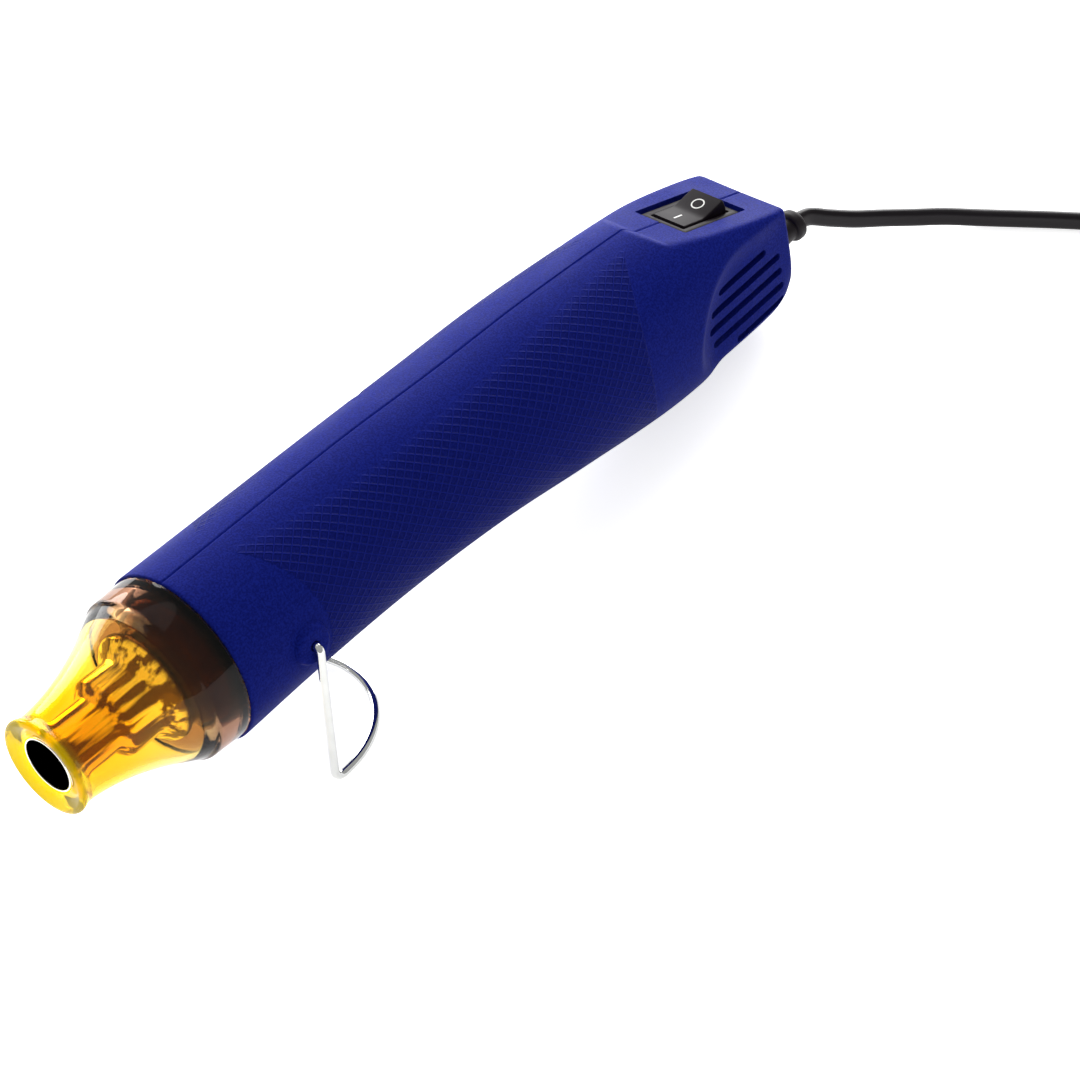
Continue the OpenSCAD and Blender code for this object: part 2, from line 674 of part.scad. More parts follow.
// Where the coil leaves off: up over the turns, and inward to the plug that lies on them
plug_at = [223, -79.9, 18.3];
end_route = [coil_route[coil_steps] + [-0.1, 0.03, 0], [228.4, -35.2, 9.1],
    [221, -34.9, 10.2], [213.7, -36.2, 11.7], [206.9, -38.9, 13.1], [200.7, -43.1, 14.1],
    [196.7, -47, 14.4], [193.4, -52.6, 14.4], [192, -58.9, 14.4], [192.8, -65.3, 14.6],
    [195.5, -71.2, 15.2], [199.9, -75.8, 16], [205.6, -78.9, 17.1], [212, -79.9, 18.1],
    [218, -79.9, 18.3], plug_at];
module lead_run() {
    color("#1b1b1d") tube_along(lead_route, oval(lead_w, lead_t, 8));
}
module lead_coil() {
    color("#1b1b1d") tube_along(coil_route, oval(lead_w, lead_t, 8));
}
module lead_end() {
    color("#1b1b1d") tube_along(end_route, oval(lead_w, lead_t, 8));
}

// Strap round the bundle of turns
module coil_tie() {
    tie_t = 0.5;
    tie_w = 7;
    inside = coil_out_r - turn_step * half_turns - lead_t / 2 - 0.5;
    outside = coil_out_r + lead_t / 2 + 0.5;
    height = 2 * lead_w + turn_gap + 0.5;
    color("#e8e6e0") translate([coil_centre[0], coil_centre[1], 0]) rotate(-90) difference() {
        translate([inside - tie_t, -tie_w / 2, 0])
            cube([outside - inside + 2 * tie_t, tie_w, height + 2 * tie_t]);
        translate([inside, -tie_w, tie_t]) cube([outside - inside, 2 * tie_w, height]);
    }
}

// Flat two-pin plug, lying on the coil
plug_w = 35.3;
plug_t = 13.7;
plug_len = 27;
pin_pitch = 18.6;
module plug_body() {
    tail_len = 9;
    color("#1d1d1f") translate(plug_at) rotate([90, 0, 90]) {
        cylinder(r1 = 3.9, r2 = 5.4, h = tail_len);
        translate([0, 0, tail_len]) intersection() {
            translate([0, plug_t / 2, 0]) rotate([90, 0, 0]) linear_extrude(plug_t)
                polygon([[-7, 0], [7, 0], [13.5, 5], [plug_w / 2, 13], [plug_w / 2, plug_len - tail_len],
                    [-plug_w / 2, plug_len - tail_len], [-plug_w / 2, 13], [-13.5, 5]]);
            linear_extrude(plug_len) hull() for (x = [-1, 1])
                translate([x * (plug_w - plug_t) / 2, 0]) circle(plug_t / 2, $fn = 32);
        }
    }
}
module plug_pins() {
    pin_len = 19;
    color("#cfd1d3") translate(plug_at + [plug_len, 0, 0]) rotate([90, 0, 90])
        for (x = [-1, 1]) translate([x * pin_pitch / 2, 0, 0]) {
            cylinder(r = 2, h = pin_len - 1);
            translate([0, 0, pin_len - 1]) cylinder(r1 = 2, r2 = 1.2, h = 1);
        }
}

housing_near();
housing_far();
housing_screws();
nozzle_shroud();
steel_nozzle();
heater_sleeve();
mica_plate_upright();
mica_plate_level();
heating_coil();
thermal_fuse();
heater_disc();
fan();
motor_shaft();
motor_can();
motor_end_cap();
motor_bracket();
rectifier_board();
rectifier_diodes();
heater_wires();
switch_wires();
switch_body();
switch_terminals();
switch_rocker();
bail();
strain_relief();
lead_run();
lead_coil();
lead_end();
coil_tie();
plug_body();
plug_pins();
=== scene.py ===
"""Looks of the embossing heat tool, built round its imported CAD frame."""

import json
import math

import bmesh
import bpy
import numpy as np
from mathutils import Matrix, Vector


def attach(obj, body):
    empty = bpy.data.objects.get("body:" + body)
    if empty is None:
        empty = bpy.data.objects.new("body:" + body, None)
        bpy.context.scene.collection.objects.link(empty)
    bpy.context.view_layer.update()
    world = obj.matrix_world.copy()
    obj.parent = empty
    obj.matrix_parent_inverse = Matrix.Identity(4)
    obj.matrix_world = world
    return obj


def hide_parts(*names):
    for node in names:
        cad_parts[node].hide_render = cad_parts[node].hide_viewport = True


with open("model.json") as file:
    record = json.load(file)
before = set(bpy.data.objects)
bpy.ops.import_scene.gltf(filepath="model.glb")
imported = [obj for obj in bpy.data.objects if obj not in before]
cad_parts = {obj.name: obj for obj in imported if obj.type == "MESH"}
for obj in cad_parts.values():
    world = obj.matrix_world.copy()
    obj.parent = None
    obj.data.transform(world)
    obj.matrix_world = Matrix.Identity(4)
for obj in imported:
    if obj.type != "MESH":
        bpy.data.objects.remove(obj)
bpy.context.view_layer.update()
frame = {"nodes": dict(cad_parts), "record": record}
nodes = frame["nodes"]

MM = 0.001
PITCH = math.radians(2.6)
TOOL_X = -86.6
TOOL_Z = 39.7686

# ---------------------------------------------------------------- camera and light


def tool_point(x, y, z):
    """A point given along the tool's own axis, in mm, as a point of the frame."""
    across = math.cos(PITCH) * x + math.sin(PITCH) * z + TOOL_X
    up = math.cos(PITCH) * z - math.sin(PITCH) * x + TOOL_Z
    return Vector((across, y, up)) * MM


def add_camera():
    """The photograph's viewpoint: above the nozzle's near side, rolled to the left."""
    right = Vector((0.658, -0.732, -0.1764)).normalized()
    back = Vector((-0.4717, -0.5833, 0.6613))
    back = (back - back.dot(right) * right).normalized()
    up = back.cross(right)
    turn = Matrix((right, up, back)).transposed().to_4x4()
    data = bpy.data.cameras.new("camera")
    data.sensor_width = 36
    data.lens = 150
    data.clip_start = 0.05
    data.clip_end = 20
    camera = bpy.data.objects.new("camera", data)
    camera.matrix_world = Matrix.Translation((-0.50239, -0.6515, 0.72614)) @ turn
    bpy.context.scene.collection.objects.link(camera)
    bpy.context.scene.camera = camera


add_camera()

# ---------------------------------------------------------------- small helpers


def full_turn(count):
    """Angles spaced evenly round a circle."""
    return [2 * math.pi * k / count for k in range(count)]


def frame_point(x, y, z):
    """A point given in the frame, in mm."""
    return Vector((x, y, z)) * MM


def mesh_object(name, verts, faces):
    """A mesh piece from its points in metres."""
    mesh = bpy.data.meshes.new(name)
    mesh.from_pydata([tuple(v) for v in verts], [], faces)
    mesh.validate()
    mesh.shade_smooth()
    piece = bpy.data.objects.new(name, mesh)
    bpy.context.scene.collection.objects.link(piece)
    return piece


def frames_along(path):
    """Side and up at each point of a route that stays nearly level."""
    out = []
    last = len(path) - 1
    for i in range(last + 1):
        d = (path[min(i + 1, last)] - path[max(i - 1, 0)]).normalized()
        side = d.cross(Vector((0, 0, 1))).normalized()
        out.append((side, side.cross(d)))
    return out


def tube(name, path, profile):
    """A closed tube with the given profile, as (side, up) pairs, along the route."""
    verts = []
    for p, (side, up) in zip(path, frames_along(path)):
        verts += [p + side * a + up * b for a, b in profile]
    n = len(profile)
    faces = [
        (i * n + k, i * n + (k + 1) % n, (i + 1) * n + (k + 1) % n, (i + 1) * n + k)
        for i in range(len(path) - 1)
        for k in range(n)
    ]
    faces.append(tuple(reversed(range(n))))
    faces.append(tuple((len(path) - 1) * n + k for k in range(n)))
    return mesh_object(name, verts, faces)


# ---------------------------------------------------------------- materials


class Paint:
    """A material's node tree, with short calls for the nodes that the finishes use."""

    def __init__(self, name):
        self.material = bpy.data.materials.new(name)
        self.material.use_nodes = True
        self.tree = self.material.node_tree
        self.shader = self.tree.nodes["Principled BSDF"]
        self.place = self.node("ShaderNodeTexCoord").outputs["Object"]

    def node(self, kind, **settings):
        made = self.tree.nodes.new(kind)
        for key, value in settings.items():
            setattr(made, key, value)
        return made

    def feed(self, value, socket):
        if isinstance(value, bpy.types.NodeSocket):
            self.tree.links.new(value, socket)
        else:
            socket.default_value = value

    def math(self, operation, a, b=0.0):
        made = self.node("ShaderNodeMath", operation=operation)
        self.feed(a, made.inputs[0])
        self.feed(b, made.inputs[1])
        return made.outputs[0]

    def noise(self, size, detail=3.0, rough=0.5, stretch=(1, 1, 1), place=None):
        """Noise with features of that size in metres, from 0 to 1."""
        shift = self.node("ShaderNodeMapping")
        self.feed(place or self.place, shift.inputs["Vector"])
        shift.inputs["Scale"].default_value = [1 / (size * s) for s in stretch]
        made = self.node("ShaderNodeTexNoise")
        self.feed(shift.outputs[0], made.inputs["Vector"])
        made.inputs["Scale"].default_value = 1.0
        made.inputs["Detail"].default_value = detail
        made.inputs["Roughness"].default_value = rough
        return made.outputs["Fac"]

    def ramp(self, value, low, high, start=0.0, end=1.0):
        """Smooth step of a value, from start below low to end above high."""
        made = self.node("ShaderNodeMapRange", interpolation_type="SMOOTHSTEP")
        for v, socket in zip((value, low, high, start, end), made.inputs):
            self.feed(v, socket)
        return made.outputs[0]

    def mix(self, factor, a, b):
        made = self.node("ShaderNodeMix", data_type="RGBA")
        self.feed(factor, made.inputs["Factor"])
        self.feed(a, made.inputs["A"])
        self.feed(b, made.inputs["B"])
        return made.outputs["Result"]

    def bump(self, height, distance, strength=1.0, normal=None):
        made = self.node("ShaderNodeBump")
        made.inputs["Strength"].default_value = strength
        made.inputs["Distance"].default_value = distance
        self.feed(height, made.inputs["Height"])
        if normal is not None:
            self.feed(normal, made.inputs["Normal"])
        return made.outputs["Normal"]

    def set(self, **sockets):
        for key, value in sockets.items():
            self.feed(value, self.shader.inputs[key.replace("_", " ")])


def srgb(r, g, b):
    """A colour written as screen values from 0 to 255."""
    def linear(v):
        v /= 255
        return v / 12.92 if v <= 0.04045 else ((v + 0.055) / 1.055) ** 2.4
    return (linear(r), linear(g), linear(b), 1.0)


def moulded(name, colour, deep, roughness=0.45, grain=0.12 * MM, height=0.02 * MM, gloss=0.5):
    """Moulded plastic: a fine grain, and a little variation of colour and gloss."""
    p = Paint(name)
    cloud = p.noise(9 * MM, 3)
    fine = p.noise(grain, 2)
    p.set(
        Base_Color=p.mix(cloud, deep, colour),
        Roughness=p.ramp(cloud, 0.3, 0.7, roughness - 0.04, roughness + 0.04),
        Normal=p.bump(fine, height, 0.6), Specular_IOR_Level=gloss,
    )
    return p.material


def steel(name, colour, dark, roughness=0.28, streak=(18, 1, 1), size=0.25 * MM):
    """Metal with fine drawn or rolled marks."""
    p = Paint(name)
    marks = p.noise(size, 4, 0.6, streak)
    cloud = p.noise(6 * MM, 2)
    p.set(
        Base_Color=p.mix(p.ramp(cloud, 0.3, 0.75), dark, colour), Metallic=1.0,
        Roughness=p.ramp(marks, 0.2, 0.8, roughness - 0.08, roughness + 0.1),
        Normal=p.bump(marks, 0.006 * MM, 0.5),
    )
    return p.material


def tool_axes(p):
    """Sockets with a point's x, y and z along the tool, in millimetres."""
    shift = p.node("ShaderNodeVectorMath", operation="SUBTRACT")
    p.feed(p.place, shift.inputs[0])
    shift.inputs[1].default_value = tool_point(0, 0, 0)
    turn = p.node("ShaderNodeVectorRotate", rotation_type="Y_AXIS")
    p.feed(shift.outputs[0], turn.inputs["Vector"])
    turn.inputs["Angle"].default_value = -PITCH
    grow = p.node("ShaderNodeVectorMath", operation="SCALE")
    p.feed(turn.outputs[0], grow.inputs[0])
    grow.inputs["Scale"].default_value = 1 / MM
    parts = p.node("ShaderNodeSeparateXYZ")
    p.feed(grow.outputs[0], parts.inputs[0])
    return parts.outputs


KNURL_LONG = 3.2
KNURL_WIDE = 2.6
GRIP_R = 22
# Each edge of the knurled field is a parabola: its apex, where that stands, and how far the
# edge has run off at the given distance from there. Angles are in degrees from the top.
FIELD_FRONT = {"apex": 27.3, "at": 90, "over": 67, "by": -8}
FIELD_REAR = {"apex": 139, "at": 98, "over": 76, "by": 11.3}
FIELD_TOP = {"apex": 28.5, "at": 70, "ahead": 50, "ahead_by": -14, "behind": 77, "behind_by": -12}
FIELD_END = 158


def knurl(p):
    """The knurled field of the grip, and the raised lattice round its diamonds."""
    x, y, z = tool_axes(p)
    angle = p.math("MULTIPLY", p.math("ARCTAN2", p.math("ABSOLUTE", y), z), 180 / math.pi)
    girth = p.math("MULTIPLY", angle, GRIP_R * math.pi / 180)

    def runs_off(value, at, over, by):
        u = p.math("DIVIDE", p.math("SUBTRACT", value, at), over)
        return p.math("MULTIPLY", p.math("MULTIPLY", u, u), by)

    def edge(value, apex, at, over, by):
        return p.math("ADD", runs_off(value, at, over, by), apex)

    at = FIELD_TOP["at"]
    ahead = runs_off(p.math("MINIMUM", x, at), at, FIELD_TOP["ahead"], FIELD_TOP["ahead_by"])
    behind = runs_off(p.math("MAXIMUM", x, at), at, FIELD_TOP["behind"], FIELD_TOP["behind_by"])
    top = p.math("ADD", p.math("ADD", ahead, behind), FIELD_TOP["apex"])
    inside = p.ramp(p.math("SUBTRACT", x, edge(angle, **FIELD_FRONT)), -0.3, 0.5)
    for within in (
        p.ramp(p.math("SUBTRACT", edge(angle, **FIELD_REAR), x), -0.2, 0.3),
        p.ramp(p.math("SUBTRACT", angle, top), -3, 9),
        p.ramp(angle, FIELD_END - 8, FIELD_END + 8, 1.0, 0.0),
    ):
        inside = p.math("MULTIPLY", inside, within)

    def ridges(sign):
        run = p.math("DIVIDE", x, KNURL_LONG)
        across = p.math("DIVIDE", girth, sign * KNURL_WIDE)
        wave = p.math("SINE", p.math("MULTIPLY", p.math("ADD", run, across), math.pi))
        return p.math("ABSOLUTE", wave)

    hollow = p.math("MINIMUM", ridges(1), ridges(-1))
    return inside, p.ramp(hollow, 0.12, 0.5, 1.0, 0.0)


def housing_paint():
    p = Paint("housing_blue")
    field, lattice = knurl(p)
    cloud = p.noise(14 * MM, 3)
    grain = p.noise(0.5 * MM, 3, 0.6)
    speckle = p.ramp(grain, 0.36, 0.66)
    plain = p.mix(speckle, srgb(12, 23, 110), srgb(22, 36, 138))
    # In the knurled field the diamonds' hollows are painted darker and the raised lattice lighter:
    # painted shade in the hollows, painted highlight on the ridges.
    knurl_painted_shade = p.mix(lattice, p.mix(speckle, srgb(11, 20, 100), srgb(17, 28, 117)), srgb(21, 33, 132))
    fine = p.bump(grain, 0.09 * MM, 0.8)
    raised = p.math("MULTIPLY", field, p.math("ADD", lattice, 0.25))
    p.set(
        Base_Color=p.mix(field, plain, knurl_painted_shade), Roughness=p.ramp(cloud, 0.3, 0.7, 0.5, 0.58),
        Normal=p.bump(raised, 0.3 * MM, 1.0, fine), Specular_IOR_Level=0.03,
    )
    return p.material


def amber_paint():
    """Clear amber plastic: deep yellow at its thick rim, pale on the cone, brownish at the band."""
    p = Paint("shroud_amber")
    x, _, _ = tool_axes(p)
    ripple = p.noise(4 * MM, 2, 0.5, (3, 1, 1))
    rim = p.ramp(x, -42.2, -38)
    band = p.ramp(x, -13, -8.5)
    cone = p.mix(p.ramp(x, -34, -15), srgb(255, 206, 6), srgb(255, 228, 128))
    tint = p.mix(band, p.mix(rim, srgb(255, 220, 2), cone), srgb(158, 114, 88))
    p.set(
        Base_Color=tint, Roughness=0.03, Transmission_Weight=p.ramp(x, -43.4, -41.5, 0.35, 1.0),
        Normal=p.bump(ripple, 0.02 * MM, 0.2), Specular_IOR_Level=0.4,
    )
    p.shader.inputs["IOR"].default_value = 1.25
    return p.material


def nozzle_paint():
    """Bright pressed steel behind the amber, with dark streaks along it painted in as reflections,
    and painted shade in its bore and under the band.
    """
    p = Paint("nozzle_steel")
    x, y, z = tool_axes(p)
    place = p.node("ShaderNodeCombineXYZ")
    p.feed(p.math("MULTIPLY", x, 0.1), place.inputs[0])
    p.feed(y, place.inputs[1])
    p.feed(z, place.inputs[2])
    streaks = p.noise(2.4, 2, 0.45, place=place.outputs[0])
    # The dark streaks along the steel are painted reflection of dark surroundings.
    painted_reflection = p.ramp(streaks, 0.45, 0.6)
    lip = p.ramp(x, -42, -41.7)
    marks = p.noise(0.3 * MM, 3, 0.6, (8, 1, 1))
    gold = p.mix(painted_reflection, srgb(104, 76, 36), srgb(250, 232, 186))
    # Behind x = -11, under the band, the steel is painted darker: painted shade.
    gold = p.mix(p.ramp(x, -13.5, -11), gold, srgb(70, 48, 24))
    # Inside the bore the steel is painted dark: painted shade in the hole.
    across = p.math("ADD", p.math("MULTIPLY", y, y), p.math("MULTIPLY", z, z))
    inside = p.ramp(p.math("SQRT", across), 7.1, 7.3)
    outer = p.mix(inside, srgb(70, 62, 52), gold)
    p.set(
        Base_Color=p.mix(lip, srgb(240, 240, 236), outer), Metallic=1.0,
        Roughness=p.ramp(marks, 0.2, 0.8, 0.06, 0.14), Normal=p.bump(marks, 0.01 * MM, 0.5),
    )
    return p.material


def lead_paint():
    p = Paint("lead_black")
    cloud = p.noise(5 * MM, 3)
    fine = p.noise(0.3 * MM, 2, 0.5, (3, 3, 1))
    p.set(
        Base_Color=p.mix(cloud, srgb(16, 11, 16), srgb(25, 19, 24)), Specular_IOR_Level=0.22,
        Roughness=p.ramp(cloud, 0.3, 0.7, 0.3, 0.4), Normal=p.bump(fine, 0.015 * MM, 0.5),
    )
    return p.material


def chrome_paint(name="bail_chrome"):
    p = Paint(name)
    cloud = p.noise(3 * MM, 2)
    scratch = p.noise(0.2 * MM, 3, 0.6, (1, 1, 12))
    p.set(
        Base_Color=p.mix(cloud, srgb(206, 207, 205), srgb(230, 231, 227)), Metallic=1.0,
        Roughness=p.ramp(scratch, 0.3, 0.8, 0.06, 0.14), Normal=p.bump(scratch, 0.002 * MM, 0.3),
    )
    return p.material


def layered_paint(name, pale, dark):
    """Mica: thin flaky layers."""
    p = Paint(name)
    flakes = p.noise(2.5 * MM, 5, 0.65, (2, 2, 0.4))
    p.set(
        Base_Color=p.mix(flakes, dark, pale), Roughness=p.ramp(flakes, 0.3, 0.7, 0.35, 0.6),
        Normal=p.bump(flakes, 0.03 * MM, 0.5),
    )
    return p.material


def tie_paint():
    p = Paint("tie_white")
    fibres = p.noise(0.6 * MM, 4, 0.6, (4, 1, 1))
    p.set(
        Base_Color=p.mix(fibres, srgb(206, 202, 192), srgb(232, 229, 221)), Roughness=0.85,
        Normal=p.bump(fibres, 0.04 * MM, 0.6),
    )
    return p.material


PAINTS = {
    "housing_blue": housing_paint(),
    "shroud_amber": amber_paint(),
    "nozzle_steel": nozzle_paint(),
    "sleeve_steel": steel("sleeve_steel", srgb(176, 168, 150), srgb(132, 122, 104), 0.35),
    "mica": layered_paint("mica", srgb(206, 190, 150), srgb(160, 136, 92)),
    "resistance_wire": steel("resistance_wire", srgb(128, 122, 116), srgb(84, 78, 74), 0.4),
    "ceramic_white": moulded("ceramic_white", srgb(226, 222, 210), srgb(206, 200, 186), 0.3),
    "fan_plastic": moulded("fan_plastic", srgb(228, 224, 214), srgb(206, 202, 190), 0.4),
    "shaft_steel": steel("shaft_steel", srgb(198, 200, 204), srgb(160, 162, 166), 0.2),
    "motor_steel": steel("motor_steel", srgb(172, 176, 180), srgb(134, 138, 142), 0.32),
    "black_plastic": moulded("black_plastic", srgb(38, 39, 42), srgb(26, 27, 30), 0.45),
    "board_green": moulded("board_green", srgb(96, 118, 58), srgb(70, 90, 40), 0.4),
    "wire_red": moulded("wire_red", srgb(196, 44, 38), srgb(160, 30, 26), 0.35),
    "wire_blue": moulded("wire_blue", srgb(44, 92, 178), srgb(30, 66, 140), 0.35),
    "switch_black": moulded(
        "switch_black", srgb(33, 27, 32), srgb(22, 17, 21), 0.45, 0.3 * MM, 0.02 * MM, 0.05
    ),
    "terminal_brass": steel("terminal_brass", srgb(212, 180, 104), srgb(176, 142, 72), 0.25),
    "bail_chrome": chrome_paint(),
    "rubber_black": moulded(
        "rubber_black", srgb(30, 24, 28), srgb(20, 15, 19), 0.5, 0.4 * MM, 0.03 * MM, 0.2
    ),
    "lead_black": lead_paint(),
    "tie_white": tie_paint(),
    "plug_black": moulded(
        "plug_black", srgb(30, 25, 29), srgb(20, 16, 20), 0.42, 0.4 * MM, 0.03 * MM, 0.25
    ),
    "pin_nickel": chrome_paint("pin_nickel"),
    "screw_steel": steel("screw_steel", srgb(170, 172, 176), srgb(120, 122, 126), 0.3),
}
MARK_WHITE = moulded("mark_white", srgb(236, 236, 232), srgb(222, 222, 218), 0.5)


def dress(piece, slot_name, body="tool", stands_for=()):
    """Gives a piece its paint, its body and the CAD nodes that it stands for."""
    piece.data.materials.clear()
    piece.data.materials.append(PAINTS[slot_name])
    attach(piece, body)
    if stands_for:
        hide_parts(*stands_for)
    return piece


def dress_cad_nodes():
    """Every CAD node takes the paint of its own slot from the record."""
    slots = {s["node"]: s["material_slot"] for s in frame["record"]["subparts"]}
    for name, node in nodes.items():
        node.data.materials.clear()
        node.data.materials.append(PAINTS[slots[name]])


dress_cad_nodes()

# ---------------------------------------------------------------- shape helpers


def sharp_edges(piece, degrees=35):
    piece.data.shade_smooth()
    piece.data.set_sharp_from_angle(angle=math.radians(degrees))
    return piece


def soften(points, radius, steps=3):
    """Rounds every corner of a closed profile; radius is one number, or one for each corner."""
    out = []
    for i, p in enumerate(points):
        r = radius[i] if isinstance(radius, (list, tuple)) else radius
        p = Vector(p)
        before = Vector(points[i - 1]) - p
        after = Vector(points[(i + 1) % len(points)]) - p
        if r == 0:
            out.append(p)
            continue
        a = p + before.normalized() * min(r, 0.45 * before.length)
        b = p + after.normalized() * min(r, 0.45 * after.length)
        for k in range(steps + 1):
            t = k / steps
            out.append((1 - t) ** 2 * a + 2 * t * (1 - t) * p + t * t * b)
    return out


def ring_loft(name, rings, place, capped=True, closed=False):
    """A skin over rings of equal count, given in mm, each point put in place by a function."""
    n = len(rings[0])
    verts = [place(*p) for ring in rings for p in ring]
    count = len(rings)
    faces = []
    for i in range(count if closed else count - 1):
        j = (i + 1) % count
        for k in range(n):
            m = (k + 1) % n
            faces.append((i * n + k, i * n + m, j * n + m, j * n + k))
    if capped and not closed:
        faces.append(tuple(reversed(range(n))))
        faces.append(tuple((count - 1) * n + k for k in range(n)))
    piece = mesh_object(name, verts, faces)
    fix_normals(piece)
    return sharp_edges(piece)


def fix_normals(piece):
    bm = bmesh.new()
    bm.from_mesh(piece.data)
    bmesh.ops.recalc_face_normals(bm, faces=bm.faces)
    bm.to_mesh(piece.data)
    bm.free()


def lathe(name, profile, centre=(0, 0), segments=96, closed=True):
    """A profile of (radius, x) turned about a line along the tool, at that y and z."""
    turn = full_turn(segments)
    rings = [
        [(x, centre[0] + r * math.sin(a), centre[1] + r * math.cos(a)) for a in turn]
        for r, x in profile
    ]
    return ring_loft(name, rings, tool_point, capped=not closed, closed=closed)


def boolean(piece, tool, operation="DIFFERENCE"):
    """Cuts the tool from the piece's mesh, or adds it, and uses the tool up."""
    modifier = piece.modifiers.new("boolean", "BOOLEAN")
    modifier.operation = operation
    modifier.solver = "EXACT"
    modifier.object = tool
    graph = bpy.context.evaluated_depsgraph_get()
    shape = bpy.data.meshes.new_from_object(piece.evaluated_get(graph))
    piece.modifiers.clear()
    piece.data = shape
    bpy.data.objects.remove(tool)


def joined(name, parts):
    """One mesh object out of several."""
    bm = bmesh.new()
    for part in parts:
        bm.from_mesh(part.data)
        bpy.data.objects.remove(part)
    mesh = bpy.data.meshes.new(name)
    bm.to_mesh(mesh)
    bm.free()
    piece = bpy.data.objects.new(name, mesh)
    bpy.context.scene.collection.objects.link(piece)
    return piece


def prism(name, outline, y0, y1):
    """A flat outline of (x, z) in mm, extruded across the tool from y0 to y1."""
    rings = [[(x, y, z) for x, z in outline] for y in (y0, y1)]
    return ring_loft(name, rings, tool_point)


def round_bar(name, x, z, radius, y0, y1):
    outline = [(x + radius * math.cos(a), z + radius * math.sin(a)) for a in full_turn(32)]
    return prism(name, outline, y0, y1)


# ---------------------------------------------------------------- housing

STATIONS = [
    (0, 23, 23, -23), (30, 22, 23.4, -21.8), (60, 21.5, 23.6, -21.8), (90, 22.4, 22.6, -22.8),
    (120, 23, 22.3, -26.8), (150, 22.4, 20.8, -31), (172, 21, 19, -31.6), (190, 18.8, 16.5, -31),
    (197, 17.4, 15.2, -28.8), (201, 16, 13.8, -25),
]
HOUSING_LEN = 201
WALL = 2.2
SEAT_X = 162.4
SEAT_Z = 16.8
SEAT_SLOPE = math.radians(17.6)
BEVEL_RUN = 7.4
BEVEL_RISE = 6.5
DISH_X = 183
DISH_Z = -14.5
DISH_FLOOR = 14.4
DISH_FLAT_R = 14
DISH_ROUND_R = 15
DISH_TOE = math.radians(3)
KEEL_ANGLE = math.radians(56)
KEEL_REACH = 26.9
KEEL_X = 172
KEEL_ROUND_R = 15
KEEL_BLEND = 1.4
PIVOT_X = 20.4
PIVOT_R = 1.35
BOSS_FACE = 23.9
# Where each set of motor arms stands along the tool, and how far out its lower arm
# meets the wall, which runs off there into the keel.
ARM_LOW_REACH = ((112, 23.5), (132, 25.2))
ARM_TILT = 50
ARM_FROM = 14.2
ARM_REACH = 20.6
LEAD_HOLE_R = 3.3
LEAD_HOLE_Z = -16.5
GROMMET_LEN = 17.5
WELL_R = 2.8
SHANK_R = 1.6
PILOT_R = 1.2
SCREWS = [(78, 16), (78, -15.6), (149, 13.4), (152, -23.6), (196, -0.4)]


def housing_edges(x):
    """Half width, top and bottom edge of the housing at each x, along a cubic curve."""
    s = np.array(STATIONS, float)
    last = len(s) - 1
    low = np.maximum(np.arange(last + 1) - 1, 0)
    high = np.minimum(np.arange(last + 1) + 1, last)
    slope = (s[high, 1:] - s[low, 1:]) / (s[high, :1] - s[low, :1])
    x = np.clip(x, 0, HOUSING_LEN)
    i = np.clip(np.searchsorted(s[:, 0], x, side="right") - 1, 0, last - 1)
    w = (s[i + 1, 0] - s[i, 0])[..., None]
    t = (x - s[i, 0])[..., None] / w
    rows = s[i, 1:] * (2 * t**3 - 3 * t**2 + 1) + s[i + 1, 1:] * (3 * t**2 - 2 * t**3)
    rows = rows + w * (slope[i] * (t**3 - 2 * t**2 + t) + slope[i + 1] * (t**3 - t**2))
    return rows[..., 0], rows[..., 1], rows[..., 2]


def seat_height(x):
    """Height of the sloping seat, and of the bevel in front of it."""
    bevel = SEAT_Z + (SEAT_X - x) * BEVEL_RISE / BEVEL_RUN
    return np.where(x < SEAT_X, bevel, SEAT_Z - (x - SEAT_X) * math.tan(SEAT_SLOPE))


def blend_min(a, b, k):
    """The smaller of two radii, with the corner between them rounded over k."""
    h = np.maximum(k - np.abs(a - b), 0) / k
    return np.minimum(a, b) - h * h * k / 4


def dish_depth(x, y, z):
    """How far a point lies beyond the dish's surface; below 0 it is in the housing's solid."""
    dx = x - HOUSING_LEN
    dy = y - DISH_FLOOR
    along = math.cos(DISH_TOE) * dx - math.sin(DISH_TOE) * dy + HOUSING_LEN - DISH_X
    height = math.sin(DISH_TOE) * dx + math.cos(DISH_TOE) * dy
    rise = z - DISH_Z
    out = np.where(along < 0, np.hypot(along, rise), np.abs(rise)) - DISH_FLAT_R
    out = np.clip(out, 0, DISH_ROUND_R)
    return height - (DISH_ROUND_R - np.sqrt(DISH_ROUND_R**2 - out**2))


def dish_radius(x, turn, middle, limit):
    """Radius at which a ray from the section's middle meets the dish."""
    low = np.zeros_like(limit)
    high = limit + 8.0
    hit = dish_depth(x, high * np.sin(turn), middle + high * np.cos(turn)) > 0
    for _ in range(24):
        r = (low + high) / 2
        beyond = dish_depth(x, r * np.sin(turn), middle + r * np.cos(turn)) > 0
        high = np.where(beyond, r, high)
        low = np.where(beyond, low, r)
    return np.where(hit, high, limit + 8.0)


def keel_radius(x, turn, middle):
    """Radius at which a ray meets the flank between the dish and the keel of the tail."""
    ahead = np.clip(KEEL_X - x, 0, KEEL_ROUND_R)
    rise = KEEL_ROUND_R - np.sqrt(KEEL_ROUND_R**2 - ahead**2)
    facing = math.cos(KEEL_ANGLE) * np.sin(turn) - math.sin(KEEL_ANGLE) * np.cos(turn)
    reach = KEEL_REACH + rise + math.sin(KEEL_ANGLE) * middle
    return np.where(facing > 0.05, reach / np.maximum(facing, 0.05), 99)


